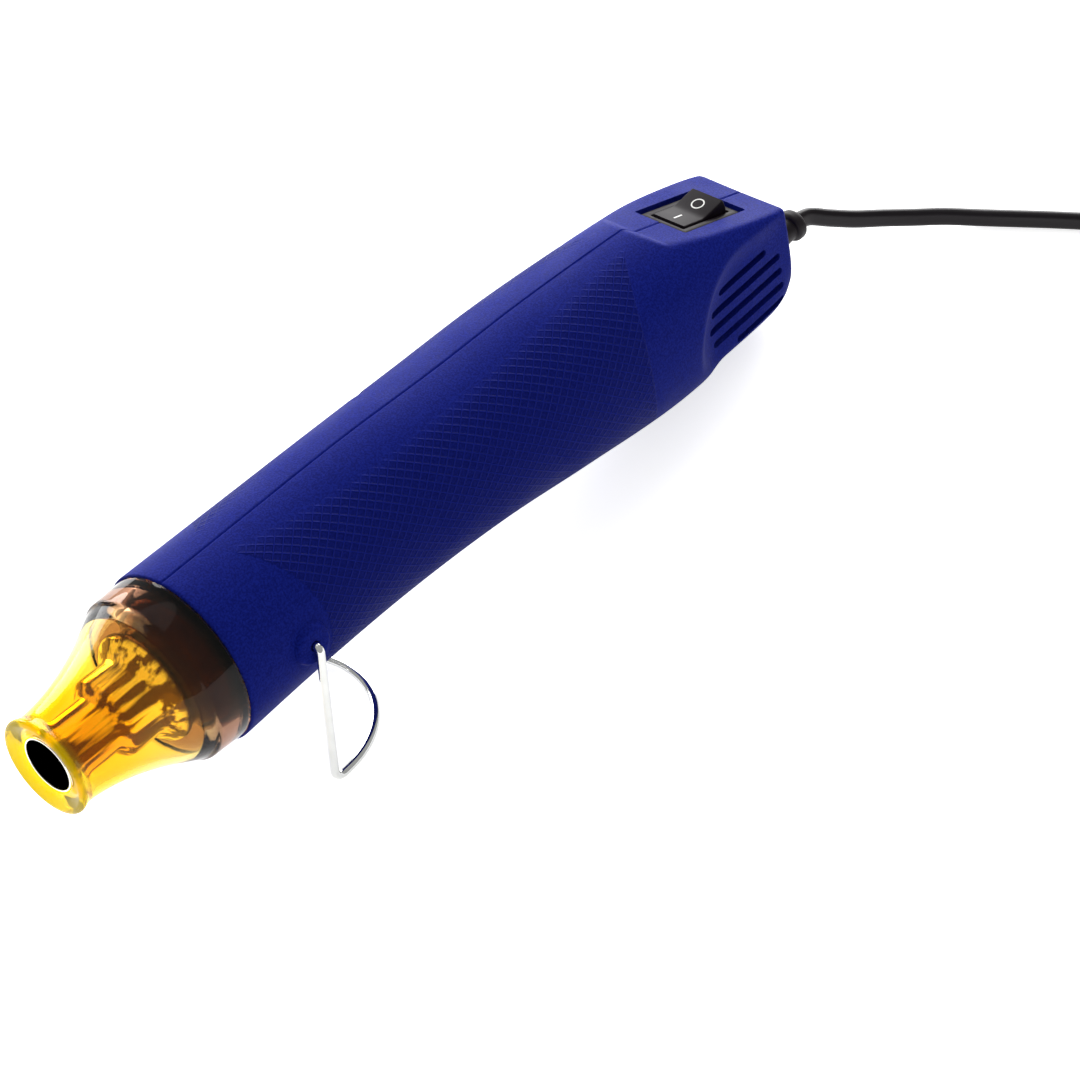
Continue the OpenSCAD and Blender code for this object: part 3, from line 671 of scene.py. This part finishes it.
def housing_radius(x, turn, dish_blend=2.2, seat_blend=0.9):
    """Radius of the housing's skin at x, along a ray turned from the top by an angle."""
    wide, top, bottom = housing_edges(x)
    middle = (top + bottom) / 2
    half = (top - bottom) / 2
    r = 1 / np.sqrt((np.sin(turn) / wide) ** 2 + (np.cos(turn) / half) ** 2)
    upward = np.maximum(np.cos(turn), 0.05)
    seat = (seat_height(x) - middle) / upward
    seat = np.where(np.cos(turn) > 0.05, seat, 99)
    dish = dish_radius(x, turn, middle, r)
    on_seat = np.clip((r - seat) / 1.5, 0, 1)
    hollow = blend_min(dish, keel_radius(x, turn, middle), KEEL_BLEND)
    r = blend_min(blend_min(r, hollow, dish_blend), seat, seat_blend)
    return r, middle, on_seat


def housing_grid():
    """Rows along the housing and columns from its top to its underside, in mm and radians."""
    corner = [0.5 * (1 - math.cos(math.pi / 2 * k / 4)) for k in range(4)]
    front = np.arange(0.5, 154, 1.5)
    tail = np.arange(154, 199.3, 0.55)
    tip = [199.5 + 1.5 * math.sin(math.pi / 2 * k / 6) for k in range(7)]
    x = np.concatenate([corner, front, tail, tip])
    near_seam = np.array([0, 0.004, 0.009, 0.015, 0.022])
    middle = np.linspace(0.034, math.pi - 0.034, 118)
    turn = np.concatenate([near_seam, middle, math.pi - near_seam[::-1]])
    return np.meshgrid(x, turn, indexing="ij")


def outer_skin(x, turn):
    """Points of the skin, with rounded ends and a fine groove along the parting line."""
    r, middle, on_seat = housing_radius(x, turn)
    lead_in = np.clip(1 - x / 0.5, 0, 1)
    r = r - 0.5 * (1 - np.sqrt(1 - lead_in**2))
    lead_out = np.clip((x - 199.5) / 1.5, 0, 1)
    r = r - 1.5 * (1 - np.sqrt(1 - lead_out**2))
    side = r * np.sin(turn)
    groove = 0.28 * np.clip(1 - side / 0.38, 0, 1) ** 0.7
    r = r - groove
    return r, middle, on_seat


def half_shell(name, side):
    """One moulded half: skin, wall and parting face, closed all round."""
    x, turn = housing_grid()
    r, middle, on_seat = outer_skin(x, turn)
    inner_x = x * (HOUSING_LEN - WALL) / HOUSING_LEN
    inner_r, inner_middle, _ = housing_radius(inner_x, turn)
    inner_r = inner_r - WALL - 1.4 * on_seat
    rows, cols = x.shape
    verts = []
    for px, pr, pm in ((x, r, middle), (inner_x, inner_r, inner_middle)):
        y = side * pr * np.sin(turn)
        y[:, 0] = y[:, -1] = 0
        z = pm + pr * np.cos(turn)
        verts += [tool_point(*p) for p in zip(px.ravel(), y.ravel(), z.ravel())]
    inner = rows * cols

    def at(i, j, layer=0):
        return layer + i * cols + j

    faces = []
    for i in range(rows - 1):
        for j in range(cols - 1):
            quad = (at(i, j), at(i, j + 1), at(i + 1, j + 1), at(i + 1, j))
            faces.append(quad)
            faces.append(tuple(inner + q for q in reversed(quad)))
        for j in (0, cols - 1):
            faces.append((at(i, j), at(i + 1, j), at(i + 1, j, inner), at(i, j, inner)))
    for j in range(cols - 1):
        faces.append((at(0, j), at(0, j, inner), at(0, j + 1, inner), at(0, j + 1)))
    end = rows - 1
    faces.append(tuple(at(end, j) for j in range(cols)))
    faces.append(tuple(at(end, j, inner) for j in reversed(range(cols))))
    faces.append((at(end, 0), at(end, 0, inner), at(end, cols - 1, inner), at(end, cols - 1)))
    piece = mesh_object(name, verts, faces)
    fix_normals(piece)
    return piece


VENT_W = 2.0
VENT_PITCH = 4.45
VENT_TOP = -2.2
VENT_FRONT = (172.5, 168.5, 167, 168, 177)
VENT_REAR = (190, 195, 195, 195, 195)


def slot_cutters(side):
    """Five round-ended slots through the dish."""
    bars = []
    r = VENT_W / 2
    for i, (x0, x1) in enumerate(zip(VENT_FRONT, VENT_REAR)):
        z = VENT_TOP - i * VENT_PITCH
        outline = [
            (x + r * math.cos(a), z + r * math.sin(a))
            for x, start in ((x1, -math.pi / 2), (x0, math.pi / 2))
            for a in (start + math.pi * k / 8 for k in range(9))
        ]
        bars.append(prism("slot", outline, side * 2, side * 30))
    return bars


SWITCH_X = 181.8
BEZEL_LEN = 21
BEZEL_W = 15
SWITCH_SEAT = 2.65
RECESS_GAP = 0.9
BODY_LEN = 18.6
BODY_W = 12.6
BODY_DEPTH = 11


def seat_point(x, y, z):
    """A point given on the switch's seat: along it, across it and out of it."""
    across = math.cos(SEAT_SLOPE) * x + math.sin(SEAT_SLOPE) * z + SWITCH_X
    up = math.cos(SEAT_SLOPE) * z - math.sin(SEAT_SLOPE) * x
    return tool_point(across, y, up + SEAT_Z - (SWITCH_X - SEAT_X) * math.tan(SEAT_SLOPE))


def rect(half_x, half_y, z, radius=0.4):
    """A ring round a rectangle at height z, with its corners rounded."""
    corners = [(-half_x, -half_y), (half_x, -half_y), (half_x, half_y), (-half_x, half_y)]
    return [(p[0], p[1], z) for p in soften(corners, radius)]


def box_on_seat(name, length, width, z0, z1):
    rings = [rect(length / 2, width / 2, z, 0.6) for z in (z0, z1)]
    return ring_loft(name, rings, seat_point)


def skin_reach(x, z):
    """How far out from the parting face the skin lies at x and height z."""
    low, high = 0.0, 26.0
    for _ in range(16):
        y = (low + high) / 2
        wide, top, bottom = (float(v) for v in housing_edges(np.array(float(x))))
        up = z - (top + bottom) / 2
        r, _, _ = housing_radius(np.array([[float(x)]]), np.array([[math.atan2(y, up)]]))
        if math.hypot(y, up) < r.item():
            low = y
        else:
            high = y
    return low


def screw_posts(side, radius):
    """Pillars that the screws pull together, from the parting face out into the wall."""
    posts = []
    for x, z in SCREWS:
        reach = min(
            skin_reach(x + radius * math.cos(a), z + radius * math.sin(a)) for a in full_turn(6)
        )
        posts.append(round_bar("post", x, z, radius, side * 0.02, side * (reach - 1.0)))
    return posts


def boss(side):
    """Raised seat of the bail's pivot, with its hole."""
    corners = [(PIVOT_R, 18), (PIVOT_R, BOSS_FACE), (4.7, BOSS_FACE), (5.6, 21.6), (5.6, 18)]
    profile = soften(corners, [0, 0.25, 0.6, 0.5, 0])
    rings = [
        [(PIVOT_X + r * math.cos(a), side * y, r * math.sin(a)) for a in full_turn(48)]
        for r, y in profile
    ]
    return ring_loft("boss", rings, tool_point, closed=True)


def motor_arms(side):
    """Ribs that reach in from the wall and hold the motor's rim."""
    arms = []
    for x, low_reach in ARM_LOW_REACH:
        for tilt in (math.radians(-ARM_TILT), math.radians(ARM_TILT)):
            reach = low_reach if side * tilt < 0 else ARM_REACH

            def leaning(px, py, pz, c=math.cos(tilt), s=math.sin(tilt)):
                return tool_point(px, py * c - pz * s, py * s + pz * c)

            rings = [
                [(x + along, side * y, z) for along, z in ((0, -2), (2, -2), (2, 2), (0, 2))]
                for y in (ARM_FROM, reach)
            ]
            arms.append(ring_loft("arm", rings, leaning))
    return arms


def add_housing(node, side, wells):
    """One shell: the half, its posts, arms and boss, and all that is cut through them."""
    shell = half_shell(node + "_shell", side)
    extras = screw_posts(side, 4.1 if wells else 3.2) + motor_arms(side) + [boss(side)]
    boolean(shell, joined("extras", extras), "UNION")
    recess_len, recess_w = BEZEL_LEN + 2 * RECESS_GAP, BEZEL_W + 2 * RECESS_GAP
    ends = [(LEAD_HOLE_R, HOUSING_LEN - 5), (LEAD_HOLE_R, HOUSING_LEN + 3)]
    cutters = slot_cutters(side) + [
        round_bar("pivot_hole", PIVOT_X, 0, PIVOT_R, side * 16, side * 28),
        box_on_seat("recess", recess_len, recess_w, -SWITCH_SEAT, 9),
        box_on_seat("opening", BODY_LEN + 0.4, BODY_W + 0.4, -9, -2),
        lathe("lead_hole", ends, (0, LEAD_HOLE_Z), 48, closed=False),
    ]
    for x, z in SCREWS:
        if wells:
            cutters.append(round_bar("well", x, z, WELL_R, 8, 30))
            cutters.append(round_bar("well_hole", x, z, SHANK_R, -1, 9))
        else:
            cutters.append(round_bar("pilot", x, z, PILOT_R, 1, -9))
    for cutter in cutters:
        boolean(shell, cutter)
    sharp_edges(shell, 32)
    dress(shell, "housing_blue", "tool", [node])


# ---------------------------------------------------------------- nozzle

SHROUD_OUTER = [
    (0, 22.5), (9.3, 22.1), (9.9, 21.4), (12, 20.5), (14.4, 19.3), (17, 18), (20, 16.7),
    (23, 15.6), (26, 14.6), (29, 13.8), (32, 13.1), (35, 12.6), (37.5, 12.3), (39.5, 12.2),
    (41.2, 12.4), (42.2, 12.8), (43, 12.95), (43.6, 12.6),
]
SHROUD_LEN = 43.9
SHROUD_WALL = 1.7
SPIGOT_R = 20.4
BEAD_R = 21.4
LIP_DEPTH = 1.5


def add_shroud():
    """Clear shroud: a spigot with its bead, the band, the waisted cone and the flared rim."""
    outer = [(r, -d) for d, r in SHROUD_OUTER]
    inner = [(r - SHROUD_WALL, -min(d, SHROUD_LEN - 2)) for d, r in reversed(SHROUD_OUTER[3:14])]
    spigot = [(SPIGOT_R - SHROUD_WALL, 7), (SPIGOT_R, 7), (SPIGOT_R, 5.1), (BEAD_R, 4.65),
              (BEAD_R, 3.75), (SPIGOT_R, 3.3), (SPIGOT_R, 0)]
    face = [(11.6, -SHROUD_LEN), (7.6, -SHROUD_LEN + LIP_DEPTH), (7.6, -SHROUD_LEN + 3)]
    profile = spigot + outer + face + inner + [(SPIGOT_R - SHROUD_WALL, -10.5)]
    radii = [0.3] * 7 + [0.25, 0.5, 0.5] + [1.2] * 15 + [0.35, 0.3, 0.3] + [0.5] * 11 + [1.0]
    shroud = lathe("nozzle_shroud_clear", soften(profile, radii, 3), segments=128)
    dress(shroud, "shroud_amber", "tool", ["nozzle_shroud"])


def add_steel_nozzle():
    """Air tube in two steps, with the flange that the shroud holds against the housing."""
    lip = SHROUD_LEN - LIP_DEPTH
    profile = [
        (6.9, -lip), (7.4, -lip), (7.5, -27), (10.4, -24.5), (10.4, -16.5), (14.2, -13),
        (14.6, -11.6), (14.2, -10.4), (13.2, -10.2), (13.6, -6), (17, -2.5), (17, 6), (16.55, 6),
        (16.55, -2.2), (13, -5.6), (12.6, -10.6), (13.6, -11.6), (9.8, -16.2), (9.8, -24),
        (7, -26.4),
    ]
    radii = [0.2, 0.2, 0.8, 1.0, 1.2, 0.8, 0.8, 0.5, 0.4, 0.8, 1.0] + [0.1] * 2 + [0.8] * 7
    nozzle = lathe("steel_nozzle_turned", soften(profile, radii, 4), segments=128)
    dress(nozzle, "nozzle_steel", "tool", ["steel_nozzle"])


# ---------------------------------------------------------------- switch

ROCKER_R = 8.3
ROCKER_W = 10.2
ROCKER_SWING = math.radians(24)
ROCKER_CROWN = 2.4
ROCKER_EDGE = 0.4
BEZEL_TOP = 2 - SWITCH_SEAT
PIVOT_DROP = 2
MARK_X = 3.5
BAR_FROM = -5.4
BAR_TO = -2.5
BAR_W = 0.44


def add_switch_body():
    """Bezel with a rounded rim round the rocker's pocket, and the body under it."""
    low = -SWITCH_SEAT
    hole_x, hole_y = ROCKER_R + 0.3, ROCKER_W / 2 + 0.3
    rings = [
        rect(BODY_LEN / 2, BODY_W / 2, low - BODY_DEPTH), rect(BODY_LEN / 2, BODY_W / 2, low),
        rect(BEZEL_LEN / 2, BEZEL_W / 2, low), rect(BEZEL_LEN / 2, BEZEL_W / 2, BEZEL_TOP - 0.5),
        rect(BEZEL_LEN / 2 - 0.1, BEZEL_W / 2 - 0.1, BEZEL_TOP - 0.2),
        rect(BEZEL_LEN / 2 - 0.35, BEZEL_W / 2 - 0.35, BEZEL_TOP),
        rect(hole_x + 0.3, hole_y + 0.3, BEZEL_TOP),
        rect(hole_x + 0.08, hole_y + 0.08, BEZEL_TOP - 0.1),
        rect(hole_x, hole_y, BEZEL_TOP - 0.35), rect(hole_x, hole_y, BEZEL_TOP - PIVOT_DROP - 5.5),
    ]
    piece = ring_loft("switch_bezel", rings, seat_point)
    dress(piece, "switch_black", "tool", ["switch_body"])


def rocker_point(x, y, z):
    """A point given about the rocker's pivot, in its resting tilt."""
    a = -ROCKER_SWING / 2
    across = math.cos(a) * x + math.sin(a) * z
    up = math.cos(a) * z - math.sin(a) * x
    return seat_point(across, y, up + BEZEL_TOP - PIVOT_DROP)


def rocker_outline():
    """Two faces in a shallow V between round ends."""
    crown = ROCKER_CROWN
    lean = math.tan(ROCKER_SWING / 2)
    q = 1 + lean**2
    tip = (-crown * lean + math.sqrt((crown * lean) ** 2 - q * (crown**2 - ROCKER_R**2))) / q
    high = crown + tip * lean
    end = math.atan2(high, tip)
    low = -math.asin(4 / ROCKER_R)
    right = [(ROCKER_R * math.cos(a), ROCKER_R * math.sin(a)) for a in np.linspace(low, end, 9)]
    valley = [(x, crown + math.hypot(x, 0.6) * lean) for x in np.linspace(tip, -tip, 25)[1:-1]]
    return right + valley + [(-x, z) for x, z in reversed(right)]


def add_rocker():
    """The outline carried across the rocker, drawn in a little over its rounded side edges."""
    outline = rocker_outline()
    edge = []
    for k in range(5):
        a = math.pi / 2 * k / 4
        across = ROCKER_W / 2 - ROCKER_EDGE * (1 - math.sin(a))
        edge.append((across, ROCKER_EDGE * (1 - math.cos(a))))
    rings = []
    for y, depth in [(-y, d) for y, d in reversed(edge)] + edge:
        shrink = 1 - depth / ROCKER_R
        rings.append([
            (x * shrink, y, z * shrink if z < 0 else z - 0.9 * depth) for x, z in outline
        ])
    piece = ring_loft("switch_rocker_cap", rings, rocker_point)
    dress(piece, "switch_black", "rocker", ["switch_rocker"])


def mark_piece(name, outer, inner=None):
    """White print of a little thickness on one of the rocker's two faces."""
    lean = math.tan(ROCKER_SWING / 2)

    def on_face(x, y, lift):
        return rocker_point(x - lift * lean, y, ROCKER_CROWN + abs(x) * lean + lift)

    rings = [[(x, y, lift) for x, y in outer] for lift in (0.0, 0.03)]
    if inner:
        rings += [[(x, y, lift) for x, y in inner] for lift in (0.03, 0.0)]
    piece = ring_loft(name, rings, on_face, capped=not inner, closed=bool(inner))
    piece.data.materials.append(MARK_WHITE)
    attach(piece, "rocker")


def add_marks():
    """O on the face that stands up when the tool is off, and I on the other."""
    def circle(r):
        return [(MARK_X + r * math.cos(a), r * math.sin(a)) for a in full_turn(48)]

    mark_piece("mark_off", circle(1.75), circle(1.4))
    x0, x1, y = BAR_FROM, BAR_TO, BAR_W / 2
    mark_piece("mark_on", [(x0, -y), (x1, -y), (x1, y), (x0, y)])


# ---------------------------------------------------------------- bail

WIRE_R = 1.05
LEG_Y = 25.3
BAIL_LEAN = math.radians(9.2)
PIVOT = (-66.221, 38.8432)
FOOT_X = -72.3422
FOOT_ARC_X = FOOT_X + 3.6
PIN_END = 19.7
TOP_BEND = 1.3
TOE_BEND = 2.4
BEND_STEPS = 12
FOOT_STEPS = 64


def bail_path():
    """Down the far leg, round the foot and up the near leg, in mm."""
    def leg(y, drop):
        x, z = PIVOT
        return Vector((x - drop * math.sin(BAIL_LEAN), y, z - drop * math.cos(BAIL_LEAN)))

    half = [leg(PIN_END, 0)]
    for i in range(BEND_STEPS + 1):
        a = math.pi / 2 * i / BEND_STEPS
        half.append(leg(LEG_Y - TOP_BEND * (1 - math.sin(a)), TOP_BEND * (1 - math.cos(a))))
    toe_turn = math.pi / 2 + BAIL_LEAN
    toe_x = FOOT_X + TOE_BEND * math.tan(toe_turn / 2)
    for i in range(BEND_STEPS + 1):
        a = math.radians(270) - toe_turn * (1 - i / BEND_STEPS)
        x, z = toe_x + TOE_BEND * math.cos(a), WIRE_R + TOE_BEND * (1 + math.sin(a))
        half.append(Vector((x, LEG_Y, z)))
    arc = []
    for i in range(FOOT_STEPS + 1):
        a = math.pi / 2 - math.pi * i / FOOT_STEPS
        arc.append(Vector((FOOT_ARC_X + LEG_Y * math.cos(a), LEG_Y * math.sin(a), WIRE_R)))
    other = [Vector((p.x, -p.y, p.z)) for p in reversed(half)]
    return half + arc + other


def add_bail():
    """Round wire along the bail's path, its rings carried on without a twist."""
    path = bail_path()
    rings = []
    side = Vector((0, 0, 1))
    last = len(path) - 1
    for i, p in enumerate(path):
        d = (path[min(i + 1, last)] - path[max(i - 1, 0)]).normalized()
        side = (side - side.dot(d) * d).normalized()
        up = d.cross(side)
        rings.append([
            p + WIRE_R * (math.cos(a) * side + math.sin(a) * up) for a in full_turn(20)
        ])
    piece = ring_loft("bail_wire", rings, frame_point)
    dress(piece, "bail_chrome", "bail", ["bail"])


# ---------------------------------------------------------------- strain relief


def add_strain_relief():
    """Rubber grommet: a flange inside the wall, a neck in its hole, and a collar on the lead."""
    x = HOUSING_LEN
    end = x + GROMMET_LEN
    profile = [
        (0.01, x - 4.4), (4.3, x - 4.4), (5.4, x - 3.6), (5.4, x - 2.3), (3.25, x - 2.3),
        (3.25, x + 0.1), (4.5, x + 0.1), (4.5, x + 1.4), (3.9, x + 2), (3.1, end - 3.4),
        (3.65, end - 3.4), (4.15, end - 2.8), (4.15, end - 0.8), (3.35, end), (0.01, end),
    ]
    radii = [0, 0.3, 0.3, 0.2, 0.1, 0.1, 0.3, 0.4, 0.4, 0.3, 0.3, 0.5, 0.6, 0.4, 0]
    rings = soften(profile, radii, 4)[1:-1]
    piece = lathe("strain_relief_rubber", rings, (0, LEAD_HOLE_Z), 64, closed=False)
    dress(piece, "rubber_black", "tool", ["strain_relief"])


add_housing("housing_near", -1, False)
add_housing("housing_far", 1, True)
add_shroud()
add_steel_nozzle()
add_switch_body()
add_rocker()
add_marks()
add_bail()
add_strain_relief()

# ---------------------------------------------------------------- lead

LEAD_W = 5 * MM
LEAD_T = 2.9 * MM
RUN = [
    (135.2, -0.5, 12.2), (139.4, -3.3, 9.9), (144.6, -7.2, 7.4), (150.3, -11.5, 5.4),
    (155.8, -17, 3.9), (161, -23.5, 3.1), (165.6, -31.5, 2.6), (170, -40, 2.5), (174, -48, 2.5),
    (178, -56.5, 2.5), (182.5, -66.5, 2.6), (187, -77, 2.9), (193, -87, 3.1), (196, -91, 3.1),
]
END = [
    (228.4, -35.2, 9.1), (221, -34.9, 10.2), (213.7, -36.2, 11.7), (206.9, -38.9, 13.1),
    (200.7, -43.1, 14.1), (196.7, -47, 14.4), (193.4, -52.6, 14.4), (192, -58.9, 14.4),
    (192.8, -65.3, 14.6), (195.5, -71.2, 15.2), (199.9, -75.8, 16), (205.6, -78.9, 17.1),
    (212, -79.9, 18.1), (218, -79.9, 18.3), (223, -79.9, 18.3),
]
GROMMET_END = (HOUSING_LEN + GROMMET_LEN, 0, LEAD_HOLE_Z)
COIL_CENTRE = (224, -70)
COIL_OUT_R = 35
COIL_ENTRY = 216.87
COIL_TURNS = 7.6
COIL_Z = 3.1
TURN_GAP = 0.7
CLIMB_DIP = 1.6
COIL_RINGS = 48


def coil_points():
    """The stored turns: in on the lower layer, up, and out again on the upper one."""
    half = COIL_TURNS / 2
    step = LEAD_T / MM + TURN_GAP
    layer = LEAD_W / MM + TURN_GAP
    points = []
    count = round(COIL_TURNS * COIL_RINGS)
    for i in range(count + 1):
        n = COIL_TURNS * i / count
        t = min(max((n - half + 0.25) / 0.5, 0), 1)
        near = min(abs(n - half) / 0.5, 1)
        r = COIL_OUT_R - step * min(n, COIL_TURNS - n) - CLIMB_DIP * (1 - near * near) ** 2
        a = math.radians(COIL_ENTRY + 360 * n)
        z = COIL_Z + layer * (3 * t * t - 2 * t**3)
        points.append(
            Vector((COIL_CENTRE[0] + r * math.cos(a), COIL_CENTRE[1] + r * math.sin(a), z)) * MM
        )
    return points


def flat_lead_profile():
    """Two cores side by side under one sheath, with a shallow groove between them."""
    core_r = LEAD_T / 2
    reach = LEAD_W / 2 - core_r
    groove = 0.16 * MM
    points = []
    for k in range(7):
        a = math.pi * k / 6
        points.append((core_r * math.cos(a), reach + core_r * math.sin(a)))
    points.append((-core_r + groove, 0))
    for k in range(7):
        a = math.pi + math.pi * k / 6
        points.append((core_r * math.cos(a), -reach + core_r * math.sin(a)))
    points.append((core_r - groove, 0))
    return points


def smooth_route(points, steps=5):
    """More points along a route, on a cubic curve that passes through the given ones."""
    out = []
    last = len(points) - 1
    for i in range(last):
        a, b = points[i], points[i + 1]
        into = (b - points[max(i - 1, 0)]) / 2
        away = (points[min(i + 2, last)] - a) / 2
        for k in range(steps):
            t = k / steps
            out.append(
                a * (2 * t**3 - 3 * t**2 + 1) + b * (3 * t**2 - 2 * t**3)
                + into * (t**3 - 2 * t**2 + t) + away * (t**3 - t**2)
            )
    return out + [points[last]]


def add_lead():
    exit_point = tool_point(*GROMMET_END)
    run = [exit_point] + [Vector(p) * MM for p in RUN]
    coil = coil_points()
    end = [Vector(p) * MM for p in END]
    path = smooth_route(run + coil[:1])[:-1] + coil + smooth_route(coil[-1:] + end)[1:]
    lead = tube("lead", path, flat_lead_profile())
    dress(lead, "lead_black", "tool", ["lead_run", "lead_coil", "lead_end"])


# ---------------------------------------------------------------- plug and strap

PLUG_AT = Vector((223, -79.9, 18.3))
PIN_PITCH = 18.6
PLUG_LEN = 27
STRAP_SECTION = [(-3.5, -0.2), (3.5, -0.2), (3.5, 0.2), (3.2, 0.25), (-3.2, 0.25), (-3.5, 0.2)]


def stadium(x, half_wide, half_thick, segments=64):
    """A ring across the plug at x: a flat oval with round ends."""
    ring = []
    for k in range(segments):
        a = 2 * math.pi * (k + 0.5) / segments - math.pi / 2
        shift = math.copysign(half_wide - half_thick, math.cos(a))
        ring.append((
            PLUG_AT.x + x, PLUG_AT.y + shift + half_thick * math.cos(a),
            PLUG_AT.z + half_thick * math.sin(a),
        ))
    return ring


def add_plug_body():
    """Neck with bending ribs, shoulders, and the flat body that the fingers hold."""
    rings = [stadium(0, 3.1, 3.1), stadium(0.4, 3.6, 3.6)]
    for i in range(5):
        x = 1.0 + 1.5 * i
        r = 3.95 + 0.24 * i
        rings += [stadium(x, r, r), stadium(x + 0.7, r + 0.1, r + 0.1)]
        rings += [stadium(x + 0.85, r - 0.4, r - 0.4), stadium(x + 1.35, r - 0.36, r - 0.36)]
    body = [
        (8.6, 5.3, 5.3), (9.6, 6.6, 5.6), (11, 9.4, 6.1), (12.6, 12, 6.45), (15, 14.6, 6.75),
        (18, 16.6, 6.85), (21, 17.5, 6.85), (25.2, 17.65, 6.85), (26.1, 17.5, 6.7),
        (26.7, 17.1, 6.3), (27, 16.5, 5.7),
    ]
    rings += [stadium(*b) for b in body]
    piece = ring_loft("plug_moulded", rings, frame_point)
    return dress(piece, "plug_black", "tool", ["plug_body"])


def pin_rings(side, profile):
    """Rings of a pin, or of its sleeve, from a profile of (distance from the face, radius)."""
    x0, y0, z0 = PLUG_AT.x + PLUG_LEN, PLUG_AT.y + side * PIN_PITCH / 2, PLUG_AT.z
    return [
        [(x0 + x, y0 + r * math.cos(a), z0 + r * math.sin(a)) for a in full_turn(32)]
        for x, r in profile
    ]


def add_plug_pins():
    """Two pins with round tips, and a sleeve over the half of each next to the plug."""
    bare = [(9.5, 1.7), (9.9, 2.0), (17.6, 2.0), (18.3, 1.8), (18.8, 1.3), (19, 0.6)]
    cover = [(-0.5, 1.96), (9.4, 1.96), (9.7, 1.9), (9.9, 1.6)]
    metal = [ring_loft("pin", pin_rings(s, bare), frame_point) for s in (-1, 1)]
    sleeves = [ring_loft("cover", pin_rings(s, cover), frame_point) for s in (-1, 1)]
    pins = sharp_edges(joined("plug_pins_bare", metal))
    covers = sharp_edges(joined("plug_pin_sleeves", sleeves))
    dress(pins, "pin_nickel", "tool", ["plug_pins"])
    dress(covers, "plug_black")
    return pins, covers


def add_coil_tie():
    """A woven strap round the bundle of turns, with soft corners and a lapped end."""
    inside = COIL_OUT_R - (LEAD_T / MM + TURN_GAP) * COIL_TURNS / 2 - LEAD_T / MM / 2 - 0.75
    outside = COIL_OUT_R + LEAD_T / MM / 2 + 0.75
    low, high = 0.27, 2 * LEAD_W / MM + TURN_GAP + 1.2
    corners = [(inside, low), (outside, low), (outside, high), (inside, high)]
    path = soften(corners, 2.2, 6)
    rings = []
    for i, p in enumerate(path):
        d = (path[(i + 1) % len(path)] - path[i - 1]).normalized()
        out = Vector((d.y, -d.x))
        lap = 0.35 if high - 0.5 < p.y and p.x > (inside + outside) / 2 else 0
        ring = []
        for across, lift in STRAP_SECTION:
            q = p + out * (lift + (lap if lift > 0 else 0))
            ring.append((COIL_CENTRE[0] + across, COIL_CENTRE[1] - q.x, q.y))
        rings.append(ring)
    piece = ring_loft("coil_strap", rings, frame_point, closed=True)
    return dress(piece, "tie_white", "tool", ["coil_tie"])


strap = add_coil_tie()
plug = add_plug_body()
plug_pins, pin_sleeves = add_plug_pins()
add_lead()

# ---------------------------------------------------------------- stage


def add_area(name, place, size, energy, aim=(0, 0, 0.03)):
    data = bpy.data.lights.new(name, "AREA")
    data.shape = "DISK"
    data.size = size
    data.energy = energy
    lamp = bpy.data.objects.new(name, data)
    lamp.location = place
    lamp.rotation_euler = (Vector(aim) - Vector(place)).to_track_quat("-Z", "Y").to_euler()
    bpy.context.scene.collection.objects.link(lamp)


def add_studio_world(fill):
    """White to the camera and through clear parts, and a softer fill for everything else."""
    world = bpy.data.worlds.new("studio")
    bpy.context.scene.world = world
    world.use_nodes = True
    tree = world.node_tree
    path = tree.nodes.new("ShaderNodeLightPath")
    seen = tree.nodes.new("ShaderNodeMath")
    seen.operation = "MAXIMUM"
    tree.links.new(path.outputs["Is Camera Ray"], seen.inputs[0])
    tree.links.new(path.outputs["Is Transmission Ray"], seen.inputs[1])
    level = tree.nodes.new("ShaderNodeMapRange")
    level.inputs["To Min"].default_value = fill
    level.inputs["To Max"].default_value = 1.0
    tree.links.new(seen.outputs[0], level.inputs["Value"])
    background = tree.nodes["Background"]
    background.inputs["Color"].default_value = (1, 1, 1, 1)
    tree.links.new(level.outputs[0], background.inputs["Strength"])


def add_floor():
    """Pale floor that keeps the shadow, seen a little over-lit, as in a product photograph."""
    reach = 3.0
    corners = [(-reach, -reach), (reach, -reach), (reach, reach), (-reach, reach)]
    floor = mesh_object("floor", [Vector((x, y, -0.0002)) for x, y in corners], [(0, 1, 2, 3)])
    p = Paint("floor_white")
    path = p.node("ShaderNodeLightPath")
    seen = p.math("MAXIMUM", path.outputs["Is Camera Ray"], path.outputs["Is Transmission Ray"])
    seen = p.math("MAXIMUM", seen, path.outputs["Is Glossy Ray"])
    p.set(
        Base_Color=(0.97, 0.97, 0.97, 1), Roughness=0.9, Specular_IOR_Level=0.2,
        Emission_Color=(0.7, 0.7, 0.7, 1), Emission_Strength=seen,
    )
    floor.data.materials.append(p.material)


def add_stage():
    scene = bpy.context.scene
    scene.view_settings.view_transform = "Standard"
    scene.view_settings.look = "None"
    add_studio_world(0.45)
    add_floor()
    add_area("key", (0.1, 0.3, 1.4), 1.2, 2)
    add_area("rear", (0.98, 0.6, 0.46), 1.2, 24)
    add_area("left", (0.1, 1.2, 0.36), 0.7, 8)


add_stage()
